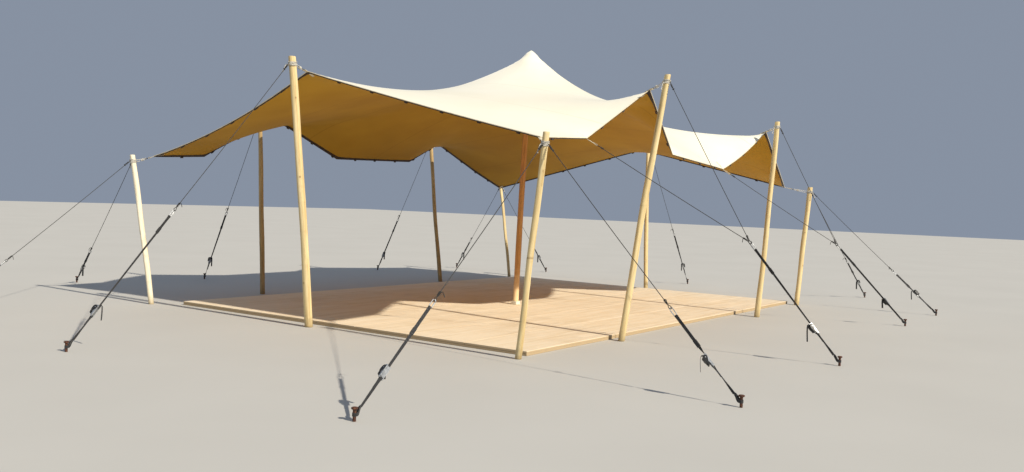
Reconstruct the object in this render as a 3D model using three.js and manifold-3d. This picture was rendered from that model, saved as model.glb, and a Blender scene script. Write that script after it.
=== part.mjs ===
// Stretch tent over a low timber deck: eleven natural wooden poles, a stretch fabric canopy
// with a webbing hem, rope lashings, ratchet strap guys and ground stakes.
// Millimetres, +Z up. Origin on the ground under the middle of the deck, +X along its long side.
// The near side is -Y, the left end is -X.

import * as THREE from "three";
import { mergeVertices } from "three/addons/utils/BufferGeometryUtils.js";
import Module from "manifold-3d";

const wasm = await Module();
wasm.setup();

// Gap kept between pieces that touch
const seatGap = 0.3;

// Timber deck: rows of panels with open seams, lying on the ground
const deckLength = 8200;
const deckWidth = 5800;
const deckHeight = 50;
const deckRows = 7;
const seamWidth = 9;
const seamDepth = 22;

// Block that spreads the centre pole's load on the deck
const footBlockSize = 100;
const footBlockHeight = 50;

// Natural round poles. foot and top are the ends of the pole's axis, bend is its sideways bow and
// radius its thickness at the foot and at the top. lashing is how far below the top the rope goes
// round where that isn't the usual.
const poleSides = 12;
const poleSteps = 6;
const poles = {
  left_mid: { foot: [-4310, 150], top: [-4700, 150, 3210], bend: [6, -10], radius: [49, 42] },
  near_left: {
    foot: [-4310, -2940], top: [-4560, -3340, 2300], bend: [14, 12], radius: [35, 31], lashing: 115,
  },
  near_second: { foot: [-2320, -3060], top: [-2320, -3520, 3140], bend: [-12, 8], radius: [41, 35] },
  near_third: { foot: [1610, -3270], top: [1610, -3450, 2960], bend: [10, -6], radius: [40, 36] },
  near_right: { foot: [4040, -3080], top: [4150, -3190, 2060], bend: [6, 4], radius: [43, 40] },
  right_mid: { foot: [4220, -70], top: [4370, 80, 2880], bend: [-8, 10], radius: [40, 37] },
  far_right: { foot: [4280, 3220], top: [4350, 3600, 2010], bend: [8, -8], radius: [32, 30] },
  far_third: { foot: [2070, 3320], top: [2070, 3690, 2810], bend: [-14, 6], radius: [39, 34] },
  far_second: { foot: [-2270, 3410], top: [-2270, 3590, 2890], bend: [8, 6], radius: [39, 33] },
  far_left: { foot: [-4390, 3220], top: [-4600, 3430, 2063], bend: [4, -6], radius: [37, 34] },
};
const centrePole = { foot: [-450, -225], top: [-380, -290], bend: [-8, 6], radius: [44, 40] };

// Canopy outline: corners, the points tied up to the side poles, and the dips between them
const canopyThickness = 8;
const nearHem = [
  [-4360, -3140, 2270], [-3430, -3130, 2330], [-2030, -3150, 3020], [-1260, -3120, 2290],
  [400, -3120, 2190], [1960, -3150, 2850], [2850, -3150, 2095], [3870, -2830, 2050],
];
const farHem = [
  [-4400, 3230, 2060], [-3580, 3220, 2110], [-2150, 3250, 2730], [-930, 3220, 2230],
  [920, 3220, 2290], [1770, 3250, 2670], [3050, 3270, 2180], [3950, 3320, 1900],
];
const leftTie = [-4400, 210, 3080];
const rightTie = [4000, 30, 2710];
const peak = [-380, -290, 3912];

// How far the hem bows halfway along some of the spans between those points
const nearBows = { 4: [0, 0, -50] };
const farBows = { 1: [0, 0, 50] };
const leftBows = { 0: [30, 0, -20], 1: [40, 0, -90] };

// Cells of the canopy's grid between those points, along X and along Y
const columnCells = [4, 5, 4, 7, 5, 4, 5];
const rowCells = [12, 12];
const refine = 3;
const slideReach = 900;

// How the taut fabric carries: stiffer along the lines from the peak to the side poles. Where rise
// is above 0 a ridge is softer near the peak, by the share of its length to that power.
const ridges = [
  { end: leftTie, stiffness: 6.5, rise: 0.5 }, { end: nearHem[2], stiffness: 10.8, rise: 0 },
  { end: nearHem[5], stiffness: 36.5, rise: 1.45 }, { end: rightTie, stiffness: 0.1, rise: 0 },
  { end: farHem[5], stiffness: 6, rise: 0 }, { end: farHem[2], stiffness: 11, rise: 0 },
];
const ridgeWidth = 133;
const peakRadius = 160;
const peakSlope = 1.2;
const relaxationSweeps = 700;
const overRelaxation = 1.9;

// Webbing sewn under the canopy's edge
const hemWidth = 60;
const hemThickness = 5;

// Ropes, lashed round each pole just below its top
const ropeRadius = 5;
const ropeSides = 6;
const lashingBelowTop = 85;
const lashingHeight = 60;
const lashingThickness = 12;
const lashingGrip = 0.6;
const knotRadius = 12;
const knotSides = 7;
const knotRings = 6;
const guyRopeLength = 2080;

// Ratchet strap from the rope's hook down to the stake
const webbingWidth = 28;
const webbingThickness = 3;
const hookLength = 95;
const hookWidth = 36;
const hookThickness = 9;
const hookBar = 9;
const hookArcSteps = 4;
const ratchetLength = 135;
const ratchetHeight = 44;
const ratchetWidth = 52;
const ratchetToStake = 420;

// The closed ratchet's side view: shares of its half length along the strap, and of its height
const ratchetBase = 8;
const ratchetUnder = -6;
const ratchetOutline = [
  [0.55, 0.27], [0.35, 0.8], [-0.1, 1], [-0.9, 0.75], [-0.95, 0.5],
];

// Ground stakes, from ground level up
const stakeSides = 8;
const stakeRadius = 13;
const stakeHeight = 105;
const stakeHeadRadius = 27;
const stakeHeadHeight = 16;
const stakeHeadSlope = 6;
const stakeHeadFlat = 0.6;
const loopHeight = 50;
const loopBand = 26;
const loopThickness = 4;

// Guys: the pole each one starts from, the place of its stake, and its rope's length where that
// isn't the usual. A forked guy also holds a dip of the hem: its ropes meet at the hook. roll is
// how far, in degrees, the strap with its ratchet is turned about its own line.
const guys = {
  left_mid: { pole: "left_mid", stake: [-7276, 320], rope: 2230, roll: 60 },
  near_left_a: { pole: "near_left", stake: [-7404, -3652], rope: 2285, roll: 105 },
  near_left_b: { pole: "near_left", stake: [-4894, -5553], rope: 2065, roll: 135 },
  near_second: {
    pole: "near_second", stake: [-2089, -5550], dip: nearHem[1], hook: [-2372, -4609, 1268],
    roll: 140,
  },
  near_third: {
    pole: "near_third", stake: [2414, -5228], dip: nearHem[4], hook: [1774, -4360, 1167],
    roll: 130,
  },
  near_right_a: { pole: "near_right", stake: [4460, -5266], rope: 1860, roll: 40 },
  near_right_b: { pole: "near_right", stake: [6820, -3520] },
  right_mid: { pole: "right_mid", stake: [6420, 50], roll: 20 },
  far_right_a: { pole: "far_right", stake: [6320, 3600], rope: 1780, roll: -25 },
  far_right_b: { pole: "far_right", stake: [5420, 5560], rope: 1880, roll: 15 },
  far_third: { pole: "far_third", stake: [3100, 5950], roll: 30 },
  far_second: { pole: "far_second", stake: [-1420, 6000], roll: -20 },
  far_left_a: { pole: "far_left", stake: [-3560, 6520], rope: 2680, roll: 35 },
  far_left_b: { pole: "far_left", stake: [-6950, 3600] },
};

// Where each pole's rope takes hold of the hem, and which way is out of the tent there
const ties = {
  left_mid: { at: leftTie, out: [-1, 0] },
  near_left: { at: nearHem[0], out: [-1, -1] },
  near_second: { at: nearHem[2], out: [0, -1] },
  near_third: { at: nearHem[5], out: [0, -1] },
  near_right: { at: nearHem[7], out: [1, -1] },
  right_mid: { at: rightTie, out: [1, 0] },
  far_right: { at: farHem[7], out: [1, 1] },
  far_third: { at: farHem[5], out: [0, 1] },
  far_second: { at: farHem[2], out: [0, 1] },
  far_left: { at: farHem[0], out: [-1, 1] },
};

const finish = {
  pole: { color: "#d9b778", roughness: 0.8, metalness: 0 },
  centrePole: { color: "#b5662c", roughness: 0.75, metalness: 0 },
  footBlock: { color: "#e8e2d2", roughness: 0.8, metalness: 0 },
  deck: { color: "#cfa274", roughness: 0.85, metalness: 0 },
  canopy: { color: "#eadfc0", roughness: 0.9, metalness: 0 },
  hem: { color: "#2b2019", roughness: 0.9, metalness: 0 },
  rope: { color: "#c9c6bb", roughness: 0.9, metalness: 0 },
  strap: { color: "#1f2022", roughness: 0.7, metalness: 0.1 },
  stake: { color: "#7a4630", roughness: 0.85, metalness: 0.4 },
};

const tent = new THREE.Group();

function addPiece(name, geometry, look) {
  const mesh = new THREE.Mesh(geometry, new THREE.MeshStandardMaterial(look));
  mesh.name = name;
  tent.add(mesh);
  return mesh;
}

// Booleans

function solidOf(geometry) {
  const bare = geometry.clone();
  bare.deleteAttribute("normal");
  bare.deleteAttribute("uv");
  const merged = mergeVertices(bare, 1e-4);
  const vertProperties = new Float32Array(merged.attributes.position.array);
  const triVerts = new Uint32Array(merged.index.array);
  return new wasm.Manifold(new wasm.Mesh({ numProp: 3, vertProperties, triVerts }));
}

function joined(geometries) {
  return geometryOf(geometries.map(solidOf).reduce((whole, next) => whole.add(next)));
}

function geometryOf(solid) {
  const mesh = solid.getMesh();
  const geometry = new THREE.BufferGeometry();
  geometry.setAttribute("position", new THREE.BufferAttribute(mesh.vertProperties, 3));
  geometry.setIndex(new THREE.BufferAttribute(mesh.triVerts, 1));
  return geometry;
}

// Poles

// A pole's axis is straight between a few stations, so what is lashed to it follows it closely
function poleAxisAt(pole, height, z) {
  const station = (z / height) * poleSteps;
  const below = Math.min(Math.floor(station), poleSteps - 1);
  const bowAt = (k) => Math.sin((Math.PI * k) / poleSteps);
  const bow = bowAt(below) + (bowAt(below + 1) - bowAt(below)) * (station - below);
  const lean = z / height;
  return [0, 1].map((i) => pole.foot[i] + (pole.top[i] - pole.foot[i]) * lean + pole.bend[i] * bow);
}

function poleRadiusAt(pole, height, z) {
  const [footRadius, topRadius] = pole.radius;
  return footRadius + (topRadius - footRadius) * (z / height);
}

// Moves an upright shape sideways, level by level, onto the pole's leaning axis
function leanWithPole(geometry, pole, height) {
  const position = geometry.attributes.position;
  for (let i = 0; i < position.count; i += 1) {
    const z = position.getZ(i);
    const [x, y] = poleAxisAt(pole, height, z);
    position.setXY(i, position.getX(i) + x, position.getY(i) + y);
  }
  return geometry;
}

function poleGeometry(pole, height) {
  const [footRadius, topRadius] = pole.radius;
  const round = new THREE.CylinderGeometry(topRadius, footRadius, height, poleSides, poleSteps);
  round.rotateX(Math.PI / 2);
  round.translate(0, 0, height / 2);
  return leanWithPole(round, pole, height);
}

for (const [name, pole] of Object.entries(poles)) {
  addPiece(`pole_${name}`, poleGeometry(pole, pole.top[2]), finish.pole);
}

// Canopy

function hemLine(points, cells, bows) {
  const line = [points[0]];
  cells.forEach((count, k) => {
    const [from, to, bow] = [points[k], points[k + 1], bows[k] ?? [0, 0, 0]];
    for (let step = 1; step <= count; step += 1) {
      const t = step / count;
      line.push(from.map((v, i) => v + (to[i] - v) * t + bow[i] * 4 * t * (1 - t)));
    }
  });
  return line;
}

function ridgeStiffnessAt(x, y) {
  return Math.max(...ridges.map(({ end, stiffness, rise }) => {
    const along = [end[0] - peak[0], end[1] - peak[1]];
    const from = [x - peak[0], y - peak[1]];
    const share = (from[0] * along[0] + from[1] * along[1]) / (along[0] ** 2 + along[1] ** 2);
    const t = Math.min(Math.max(share, 0), 1);
    const away = Math.hypot(from[0] - along[0] * t, from[1] - along[1] * t);
    return stiffness * t ** rise * Math.exp(-((away / ridgeWidth) ** 2));
  }));
}

// Slides the grid sideways around the peak, so that one of the points kept later is on it
function slideOntoPeak(grid) {
  const kept = grid.filter((_, i) => i % refine === 0)
    .flatMap((column) => column.filter((_, j) => j % refine === 0));
  const toPeak = (point) => Math.hypot(point[0] - peak[0], point[1] - peak[1]);
  const nearest = kept.reduce((best, point) => (toPeak(point) < toPeak(best) ? point : best));
  const [originX, originY] = nearest;
  const [slideX, slideY] = [peak[0] - originX, peak[1] - originY];
  for (const point of grid.flat()) {
    const away = Math.hypot(point[0] - originX, point[1] - originY);
    const share = Math.exp(-((away / slideReach) ** 2));
    point[0] += slideX * share;
    point[1] += slideY * share;
  }
}

// The fabric's shape: edge points carried across the tent, then heights relaxed until each
// point balances the pull of its neighbours, with the peak held up by the centre pole
function relaxedCanopy() {
  const fineColumns = columnCells.map((n) => n * refine);
  const fineRows = rowCells.map((n) => n * refine);
  const near = hemLine(nearHem, fineColumns, nearBows);
  const far = hemLine(farHem, fineColumns, farBows);
  const left = hemLine([nearHem[0], leftTie, farHem[0]], fineRows, leftBows);
  const right = hemLine([nearHem.at(-1), rightTie, farHem.at(-1)], fineRows, {});
  const columns = near.length;
  const rows = left.length;
  const grid = near.map((nearPoint, i) => left.map((leftPoint, j) => {
    const s = i / (columns - 1);
    const t = j / (rows - 1);
    return [0, 1, 2].map((k) => (1 - t) * nearPoint[k] + t * far[i][k]
      + (1 - s) * leftPoint[k] + s * right[j][k]
      - (1 - s) * (1 - t) * near[0][k] - s * (1 - t) * near.at(-1)[k]
      - (1 - s) * t * far[0][k] - s * t * far.at(-1)[k]);
  }));

  slideOntoPeak(grid);

  const held = grid.map((column, i) => column.map((point, j) => {
    const reach = Math.hypot(point[0] - peak[0], point[1] - peak[1]);
    if (reach < peakRadius) {
      point[2] = peak[2] - peakSlope * reach;
    }
    return i === 0 || j === 0 || i === columns - 1 || j === rows - 1 || reach < peakRadius;
  }));

  const span = (a, b) => Math.hypot(a[0] - b[0], a[1] - b[1]);
  const pull = (a, b, sideA, sideB) => {
    const stiffness = 1 + ridgeStiffnessAt((a[0] + b[0]) / 2, (a[1] + b[1]) / 2);
    return ((sideA + sideB) / 2 / span(a, b)) * stiffness;
  };
  const rowSpan = (i, j) => span(grid[i][Math.min(j + 1, rows - 1)], grid[i][Math.max(j - 1, 0)])
    / (j === 0 || j === rows - 1 ? 1 : 2);
  const columnSpan = (i, j) => span(grid[Math.min(i + 1, columns - 1)][j], grid[Math.max(i - 1, 0)][j])
    / (i === 0 || i === columns - 1 ? 1 : 2);
  const pullX = grid.slice(1).map((column, i) => column.map((point, j) => (
    pull(grid[i][j], point, rowSpan(i, j), rowSpan(i + 1, j)))));
  const pullY = grid.map((column, i) => column.slice(1).map((point, j) => (
    pull(column[j], point, columnSpan(i, j), columnSpan(i, j + 1)))));

  for (let sweep = 0; sweep < relaxationSweeps; sweep += 1) {
    for (let i = 1; i < columns - 1; i += 1) {
      for (let j = 1; j < rows - 1; j += 1) {
        if (!held[i][j]) {
          const [a, b, c, d] = [pullX[i - 1][j], pullX[i][j], pullY[i][j - 1], pullY[i][j]];
          const balance = (a * grid[i - 1][j][2] + b * grid[i + 1][j][2]
            + c * grid[i][j - 1][2] + d * grid[i][j + 1][2]) / (a + b + c + d);
          grid[i][j][2] += overRelaxation * (balance - grid[i][j][2]);
        }
      }
    }
  }
  return grid;
}

// Every few points of the fine grid, plus one line just inside the edge where the hem ends
function plainCanopy(fine) {
  const kept = (_, k) => k % refine === 0;
  const coarse = fine.filter(kept).map((column) => column.filter(kept));
  const towards = (a, b) => {
    const share = hemWidth / Math.hypot(b[0] - a[0], b[1] - a[1]);
    return a.map((v, k) => v + (b[k] - v) * share);
  };
  const withRows = coarse.map((column) => [
    column[0], towards(column[0], column[1]), ...column.slice(1, -1),
    towards(column.at(-1), column.at(-2)), column.at(-1),
  ]);
  const between = (a, b) => a.map((point, j) => towards(point, b[j]));
  return [
    withRows[0], between(withRows[0], withRows[1]), ...withRows.slice(1, -1),
    between(withRows.at(-1), withRows.at(-2)), withRows.at(-1),
  ];
}

const canopyGrid = plainCanopy(relaxedCanopy());
const canopyColumns = canopyGrid.length;
const canopyRows = canopyGrid[0].length;

// A sheet of the grid's cells, as a closed body between two depths below the surface
function sheetGeometry(top, bottom, keepCell) {
  const vertices = [];
  const faces = [];
  const index = (i, j, layer) => (i * canopyRows + j) * 2 + layer;
  canopyGrid.forEach((column) => column.forEach(([x, y, z]) => {
    vertices.push(x, y, z - top, x, y, z - bottom);
  }));
  const inside = (i, j) => i >= 0 && j >= 0 && i < canopyColumns - 1 && j < canopyRows - 1;
  const kept = (i, j) => inside(i, j) && keepCell(i, j);
  const wall = (a, b) => {
    faces.push(a, a + 1, b + 1, a, b + 1, b);
  };
  for (let i = 0; i < canopyColumns - 1; i += 1) {
    for (let j = 0; j < canopyRows - 1; j += 1) {
      if (kept(i, j)) {
        const corners = [index(i, j, 0), index(i + 1, j, 0), index(i + 1, j + 1, 0), index(i, j + 1, 0)];
        const [a, b, c, d] = corners;
        faces.push(a, b, c, a, c, d);
        faces.push(a + 1, c + 1, b + 1, a + 1, d + 1, c + 1);
        if (!kept(i, j - 1)) wall(a, b);
        if (!kept(i + 1, j)) wall(b, c);
        if (!kept(i, j + 1)) wall(c, d);
        if (!kept(i - 1, j)) wall(d, a);
      }
    }
  }
  const geometry = new THREE.BufferGeometry();
  geometry.setAttribute("position", new THREE.Float32BufferAttribute(vertices, 3));
  geometry.setIndex(faces);
  return mergeVertices(geometry.toNonIndexed());
}

const onEdge = (i, j) => i === 0 || j === 0 || i === canopyColumns - 2 || j === canopyRows - 2;
addPiece("canopy", sheetGeometry(0, canopyThickness, () => true), finish.canopy);
const hemTop = canopyThickness + seatGap;
addPiece("hem_webbing", sheetGeometry(hemTop, hemTop + hemThickness, onEdge), finish.hem);

// Height of the canopy's upper face above a place on the plan
function canopyHeightAt(x, y) {
  const heightOn = (a, b, c) => {
    const area = (b[0] - a[0]) * (c[1] - a[1]) - (c[0] - a[0]) * (b[1] - a[1]);
    const v = ((x - a[0]) * (c[1] - a[1]) - (c[0] - a[0]) * (y - a[1])) / area;
    const w = ((b[0] - a[0]) * (y - a[1]) - (x - a[0]) * (b[1] - a[1])) / area;
    return v >= 0 && w >= 0 && v + w <= 1 ? a[2] + v * (b[2] - a[2]) + w * (c[2] - a[2]) : Infinity;
  };
  let height = Infinity;
  for (let i = 0; i < canopyColumns - 1; i += 1) {
    for (let j = 0; j < canopyRows - 1; j += 1) {
      const [a, d] = [canopyGrid[i][j], canopyGrid[i][j + 1]];
      const [b, c] = [canopyGrid[i + 1][j], canopyGrid[i + 1][j + 1]];
      height = Math.min(height, heightOn(a, b, c), heightOn(a, c, d));
    }
  }
  return height;
}

// Deck, its underside on the ground

function deckGeometry() {
  const rowWidth = deckWidth / deckRows;
  const outline = [[-deckWidth / 2, 0], [deckWidth / 2, 0], [deckWidth / 2, deckHeight]];
  for (let row = deckRows - 1; row > 0; row -= 1) {
    const seam = -deckWidth / 2 + row * rowWidth;
    const [low, high] = [seam - seamWidth / 2, seam + seamWidth / 2];
    outline.push([high, deckHeight], [high, deckHeight - seamDepth]);
    outline.push([low, deckHeight - seamDepth], [low, deckHeight]);
  }
  outline.push([-deckWidth / 2, deckHeight]);
  const shape = new THREE.Shape(outline.map(([x, y]) => new THREE.Vector2(x, y)));
  const geometry = new THREE.ExtrudeGeometry(shape, { depth: deckLength, bevelEnabled: false });
  geometry.applyMatrix4(new THREE.Matrix4().makeBasis(
    new THREE.Vector3(0, 1, 0), new THREE.Vector3(0, 0, 1), new THREE.Vector3(1, 0, 0),
  ));
  geometry.translate(-deckLength / 2, 0, 0);
  return geometry;
}
addPiece("timber_deck", deckGeometry(), finish.deck);

// Centre pole: it stands on its block and its rounded top just fits under the peak

const blockBottom = deckHeight + seatGap;
const blockTop = blockBottom + footBlockHeight;
const footBlock = new THREE.BoxGeometry(footBlockSize, footBlockSize, footBlockHeight);
const block = addPiece("centre_pole_foot", footBlock, finish.footBlock);
block.position.set(centrePole.foot[0], centrePole.foot[1], (blockBottom + blockTop) / 2);

function centrePoleGeometry(height) {
  const domeSteps = 4;
  const topRadius = centrePole.radius[1];
  const profile = [new THREE.Vector2(0, 0)];
  for (let step = 0; step <= poleSteps; step += 1) {
    const z = ((height - topRadius) * step) / poleSteps;
    profile.push(new THREE.Vector2(poleRadiusAt(centrePole, height, z), z));
  }
  for (let step = 1; step <= domeSteps; step += 1) {
    const angle = (Math.PI / 2) * (step / domeSteps);
    const radius = step === domeSteps ? 0 : topRadius * Math.cos(angle);
    const z = height - topRadius + topRadius * Math.sin(angle);
    profile.push(new THREE.Vector2(radius, z));
  }
  const round = new THREE.LatheGeometry(profile, poleSides);
  round.rotateX(Math.PI / 2);
  leanWithPole(round, centrePole, height);
  return round.translate(0, 0, blockTop + seatGap);
}

const trialHeight = peak[2] - blockTop;
const trialPole = centrePoleGeometry(trialHeight).attributes.position;
let tooHigh = 0;
for (let i = 0; i < trialPole.count; i += 1) {
  const [x, y, z] = [trialPole.getX(i), trialPole.getY(i), trialPole.getZ(i)];
  tooHigh = Math.max(tooHigh, z - (canopyHeightAt(x, y) - canopyThickness - seatGap));
}
addPiece("pole_centre", centrePoleGeometry(trialHeight - tooHigh), finish.centrePole);

// Ropes

function rod(from, to, radius, sides) {
  const [a, b] = [new THREE.Vector3(...from), new THREE.Vector3(...to)];
  const along = b.clone().sub(a);
  const geometry = new THREE.CylinderGeometry(radius, radius, along.length(), sides);
  const turn = new THREE.Quaternion().setFromUnitVectors(new THREE.Vector3(0, 1, 0), along.normalize());
  geometry.applyQuaternion(turn);
  return geometry.translate((a.x + b.x) / 2, (a.y + b.y) / 2, (a.z + b.z) / 2);
}

// A knot has one of its points towards the piece that it lies against
function knot(centre, facing) {
  const ball = new THREE.SphereGeometry(knotRadius, knotSides, knotRings);
  const turn = new THREE.Quaternion().setFromUnitVectors(
    new THREE.Vector3(0, 1, 0), new THREE.Vector3(...facing).normalize(),
  );
  return ball.applyQuaternion(turn).translate(...centre);
}

// Knot that lies against the hem's edge, on its outer side
function knotAtHem(point, out) {
  const length = Math.hypot(...out);
  const reach = knotRadius + seatGap;
  const middle = point[2] - (canopyThickness + seatGap + hemThickness) / 2;
  return [point[0] + (out[0] / length) * reach, point[1] + (out[1] / length) * reach, middle];
}

function lashingGeometry(pole) {
  const height = pole.top[2];
  const middle = height - (pole.lashing ?? lashingBelowTop);
  const [low, high] = [middle - lashingHeight / 2, middle + lashingHeight / 2];
  const inner = (z) => poleRadiusAt(pole, height, z) + seatGap;
  const profile = [
    [inner(low), low], [inner(low) + lashingThickness, low],
    [inner(high) + lashingThickness, high], [inner(high), high], [inner(low), low],
  ].map(([r, z]) => new THREE.Vector2(r, z));
  const band = new THREE.LatheGeometry(profile, poleSides);
  band.rotateX(Math.PI / 2);
  return leanWithPole(band, pole, height);
}

// Point inside the lashing, on the side that faces a target
function lashingPointTowards(pole, target) {
  const z = pole.top[2] - (pole.lashing ?? lashingBelowTop);
  const [x, y] = poleAxisAt(pole, pole.top[2], z);
  const away = [target[0] - x, target[1] - y];
  const depth = poleRadiusAt(pole, pole.top[2], z) + seatGap + lashingThickness * lashingGrip;
  const share = depth / Math.hypot(...away);
  return [x + away[0] * share, y + away[1] * share, z];
}

const pointBetween = (from, to, distance) => {
  const length = Math.hypot(to[0] - from[0], to[1] - from[1], to[2] - from[2]);
  return from.map((v, k) => v + ((to[k] - v) * distance) / length);
};

// Each guy runs straight from its lashing to the webbing loop on its stake
for (const guy of Object.values(guys)) {
  const pole = poles[guy.pole];
  guy.start = lashingPointTowards(pole, guy.hook ?? guy.stake);
  const aim = guy.hook ?? guy.start;
  const away = [aim[0] - guy.stake[0], aim[1] - guy.stake[1]];
  const reach = (stakeRadius + seatGap + loopThickness / 2) / Math.hypot(...away);
  guy.end = [guy.stake[0] + away[0] * reach, guy.stake[1] + away[1] * reach, loopHeight];
  guy.hookPoint = guy.hook ?? pointBetween(guy.start, guy.end, guy.rope ?? guyRopeLength);
}

for (const [name, pole] of Object.entries(poles)) {
  const tie = ties[name];
  const hemKnot = knotAtHem(tie.at, tie.out);
  const pieces = [
    lashingGeometry(pole),
    rod(lashingPointTowards(pole, hemKnot), hemKnot, ropeRadius, ropeSides),
    knot(hemKnot, [-tie.out[0], -tie.out[1], 0]),
  ];
  for (const guy of Object.values(guys).filter((each) => each.pole === name)) {
    const down = guy.end.map((v, k) => v - guy.hookPoint[k]);
    pieces.push(rod(guy.start, guy.hookPoint, ropeRadius, ropeSides), knot(guy.hookPoint, down));
    if (guy.dip) {
      const dipKnot = knotAtHem(guy.dip, tie.out);
      pieces.push(rod(dipKnot, guy.hookPoint, ropeRadius, ropeSides));
      pieces.push(knot(dipKnot, [-tie.out[0], -tie.out[1], 0]));
    }
  }
  addPiece(`ropes_${name}`, joined(pieces), finish.rope);
}

// Straps and stakes

// An oval hook with an open middle
function hookGeometry() {
  const oval = (path, radius) => {
    path.absarc(hookLength - hookWidth / 2, 0, radius, -Math.PI / 2, Math.PI / 2);
    path.absarc(hookWidth / 2, 0, radius, Math.PI / 2, (3 * Math.PI) / 2);
    return path;
  };
  const shape = oval(new THREE.Shape(), hookWidth / 2);
  shape.holes.push(oval(new THREE.Path(), hookWidth / 2 - hookBar));
  const plate = new THREE.ExtrudeGeometry(shape, {
    depth: hookThickness, bevelEnabled: false, curveSegments: hookArcSteps,
  });
  return plate.translate(0, 0, -hookThickness / 2);
}

// Side view of the closed ratchet: base frame, drum and folded handle
function ratchetGeometry(centreX) {
  const half = ratchetLength / 2;
  const outline = [
    [-half, ratchetUnder], [half, ratchetUnder], [half, ratchetBase],
    ...ratchetOutline.map(([along, up]) => [half * along, ratchetHeight * up]),
    [-half, ratchetBase],
  ];
  const shape = new THREE.Shape(outline.map(([x, y]) => new THREE.Vector2(x, y)));
  const body = new THREE.ExtrudeGeometry(shape, { depth: ratchetWidth, bevelEnabled: false });
  body.rotateX(Math.PI / 2);
  return body.translate(centreX, ratchetWidth / 2, 0);
}

function strapGeometry(guy) {
  const from = new THREE.Vector3(...guy.hookPoint);
  const to = new THREE.Vector3(...guy.end);
  const along = to.clone().sub(from);
  const length = along.length();
  const hookStart = knotRadius + seatGap;
  const webbingStart = hookStart + hookLength - hookBar / 2;
  const webbing = new THREE.BoxGeometry(length - webbingStart, webbingWidth, webbingThickness);
  webbing.translate((webbingStart + length) / 2, 0, 0);
  const ratchet = ratchetGeometry(length - ratchetToStake);
  const flat = [hookGeometry().translate(hookStart, 0, 0), webbing, ratchet];

  const x = along.clone().normalize();
  const level = new THREE.Vector3(0, 0, 1).cross(x).normalize();
  const y = level.applyAxisAngle(x, THREE.MathUtils.degToRad(guy.roll ?? 0));
  const z = x.clone().cross(y);
  const place = new THREE.Matrix4().makeBasis(x, y, z).setPosition(from);
  const rolled = joined(flat.map((geometry) => geometry.applyMatrix4(place)));

  // The webbing ends inside the loop's thickness, clear of the stake
  const inner = stakeRadius + seatGap;
  const room = inner + loopThickness / 2;
  const clear = new THREE.CylinderGeometry(room, room, stakeHeight * 2, stakeSides);
  clear.rotateX(Math.PI / 2);
  clear.translate(guy.stake[0], guy.stake[1], loopHeight);
  const cut = geometryOf(solidOf(rolled).subtract(solidOf(clear)));

  const profile = [
    [inner, -loopBand / 2], [inner + loopThickness, -loopBand / 2],
    [inner + loopThickness, loopBand / 2], [inner, loopBand / 2], [inner, -loopBand / 2],
  ].map(([r, h]) => new THREE.Vector2(r, h));
  const loop = new THREE.LatheGeometry(profile, stakeSides);
  loop.rotateX(Math.PI / 2);
  loop.translate(...guy.stake, loopHeight);
  return joined([cut, loop]);
}

function stakeGeometry() {
  const headBottom = stakeHeight - stakeHeadHeight;
  const profile = [
    [0, 0], [stakeRadius, 0], [stakeRadius, headBottom], [stakeHeadRadius, headBottom],
    [stakeHeadRadius, stakeHeight - stakeHeadSlope],
    [stakeHeadRadius * stakeHeadFlat, stakeHeight], [0, stakeHeight],
  ].map(([r, h]) => new THREE.Vector2(r, h));
  const round = new THREE.LatheGeometry(profile, stakeSides);
  return round.rotateX(Math.PI / 2);
}

for (const [name, guy] of Object.entries(guys)) {
  addPiece(`strap_${name}`, strapGeometry(guy), finish.strap);
  const stake = addPiece(`stake_${name}`, stakeGeometry(), finish.stake);
  stake.position.set(guy.stake[0], guy.stake[1], 0);
}

export default tent;
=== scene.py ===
from functools import partial
import bpy
import numpy as np
from mathutils import Matrix, Vector


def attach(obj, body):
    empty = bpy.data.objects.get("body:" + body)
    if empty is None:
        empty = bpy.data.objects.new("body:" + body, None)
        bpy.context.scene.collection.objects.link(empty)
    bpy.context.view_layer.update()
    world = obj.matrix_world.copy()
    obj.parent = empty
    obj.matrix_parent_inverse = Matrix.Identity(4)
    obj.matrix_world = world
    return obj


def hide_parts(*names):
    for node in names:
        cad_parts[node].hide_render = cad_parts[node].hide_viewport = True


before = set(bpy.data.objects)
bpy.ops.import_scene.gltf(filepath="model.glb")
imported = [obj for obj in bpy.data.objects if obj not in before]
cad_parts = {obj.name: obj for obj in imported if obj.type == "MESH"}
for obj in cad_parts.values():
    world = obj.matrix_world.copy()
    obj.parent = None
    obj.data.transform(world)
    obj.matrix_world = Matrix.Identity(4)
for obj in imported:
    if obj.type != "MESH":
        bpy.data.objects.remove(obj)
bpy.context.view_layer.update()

# Stretch tent over a timber deck, in metres, +Z up. The near side is -Y, the left end is -X.
# Every new piece is a grid of points worked out as whole arrays and put into a mesh in one go.

worldUp = np.array([0.0, 0.0, 1.0])
xAxis, yAxis, stillBasis = np.array([1.0, 0, 0]), np.array([0, 1.0, 0]), np.eye(3)

# Small helpers


def toLinear(code):
    # sRGB hex to linear light: c / 12.92 for dark values, else ((c + 0.055) / 1.055) to the 2.4
    channels = [int(code[k:k + 2], 16) / 255 for k in (1, 3, 5)]
    return tuple(c / 12.92 if c <= 0.04045 else ((c + 0.055) / 1.055) ** 2.4 for c in channels) + (1.0,)


def unit(v):
    # Each vector divided by its own length
    return v / np.maximum(np.linalg.norm(v, axis=-1, keepdims=True), 1e-12)


def lengthOf(v):
    # The length of each vector
    return np.linalg.norm(v, axis=-1)


def smoothStep(t):
    # 3t^2 - 2t^3 between 0 and 1
    t = np.clip(t, 0, 1)
    return t * t * (3 - 2 * t)


def angles(count):
    # Even steps once round: 2 pi k / count
    return np.linspace(0, 2 * np.pi, count, endpoint=False)


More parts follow.
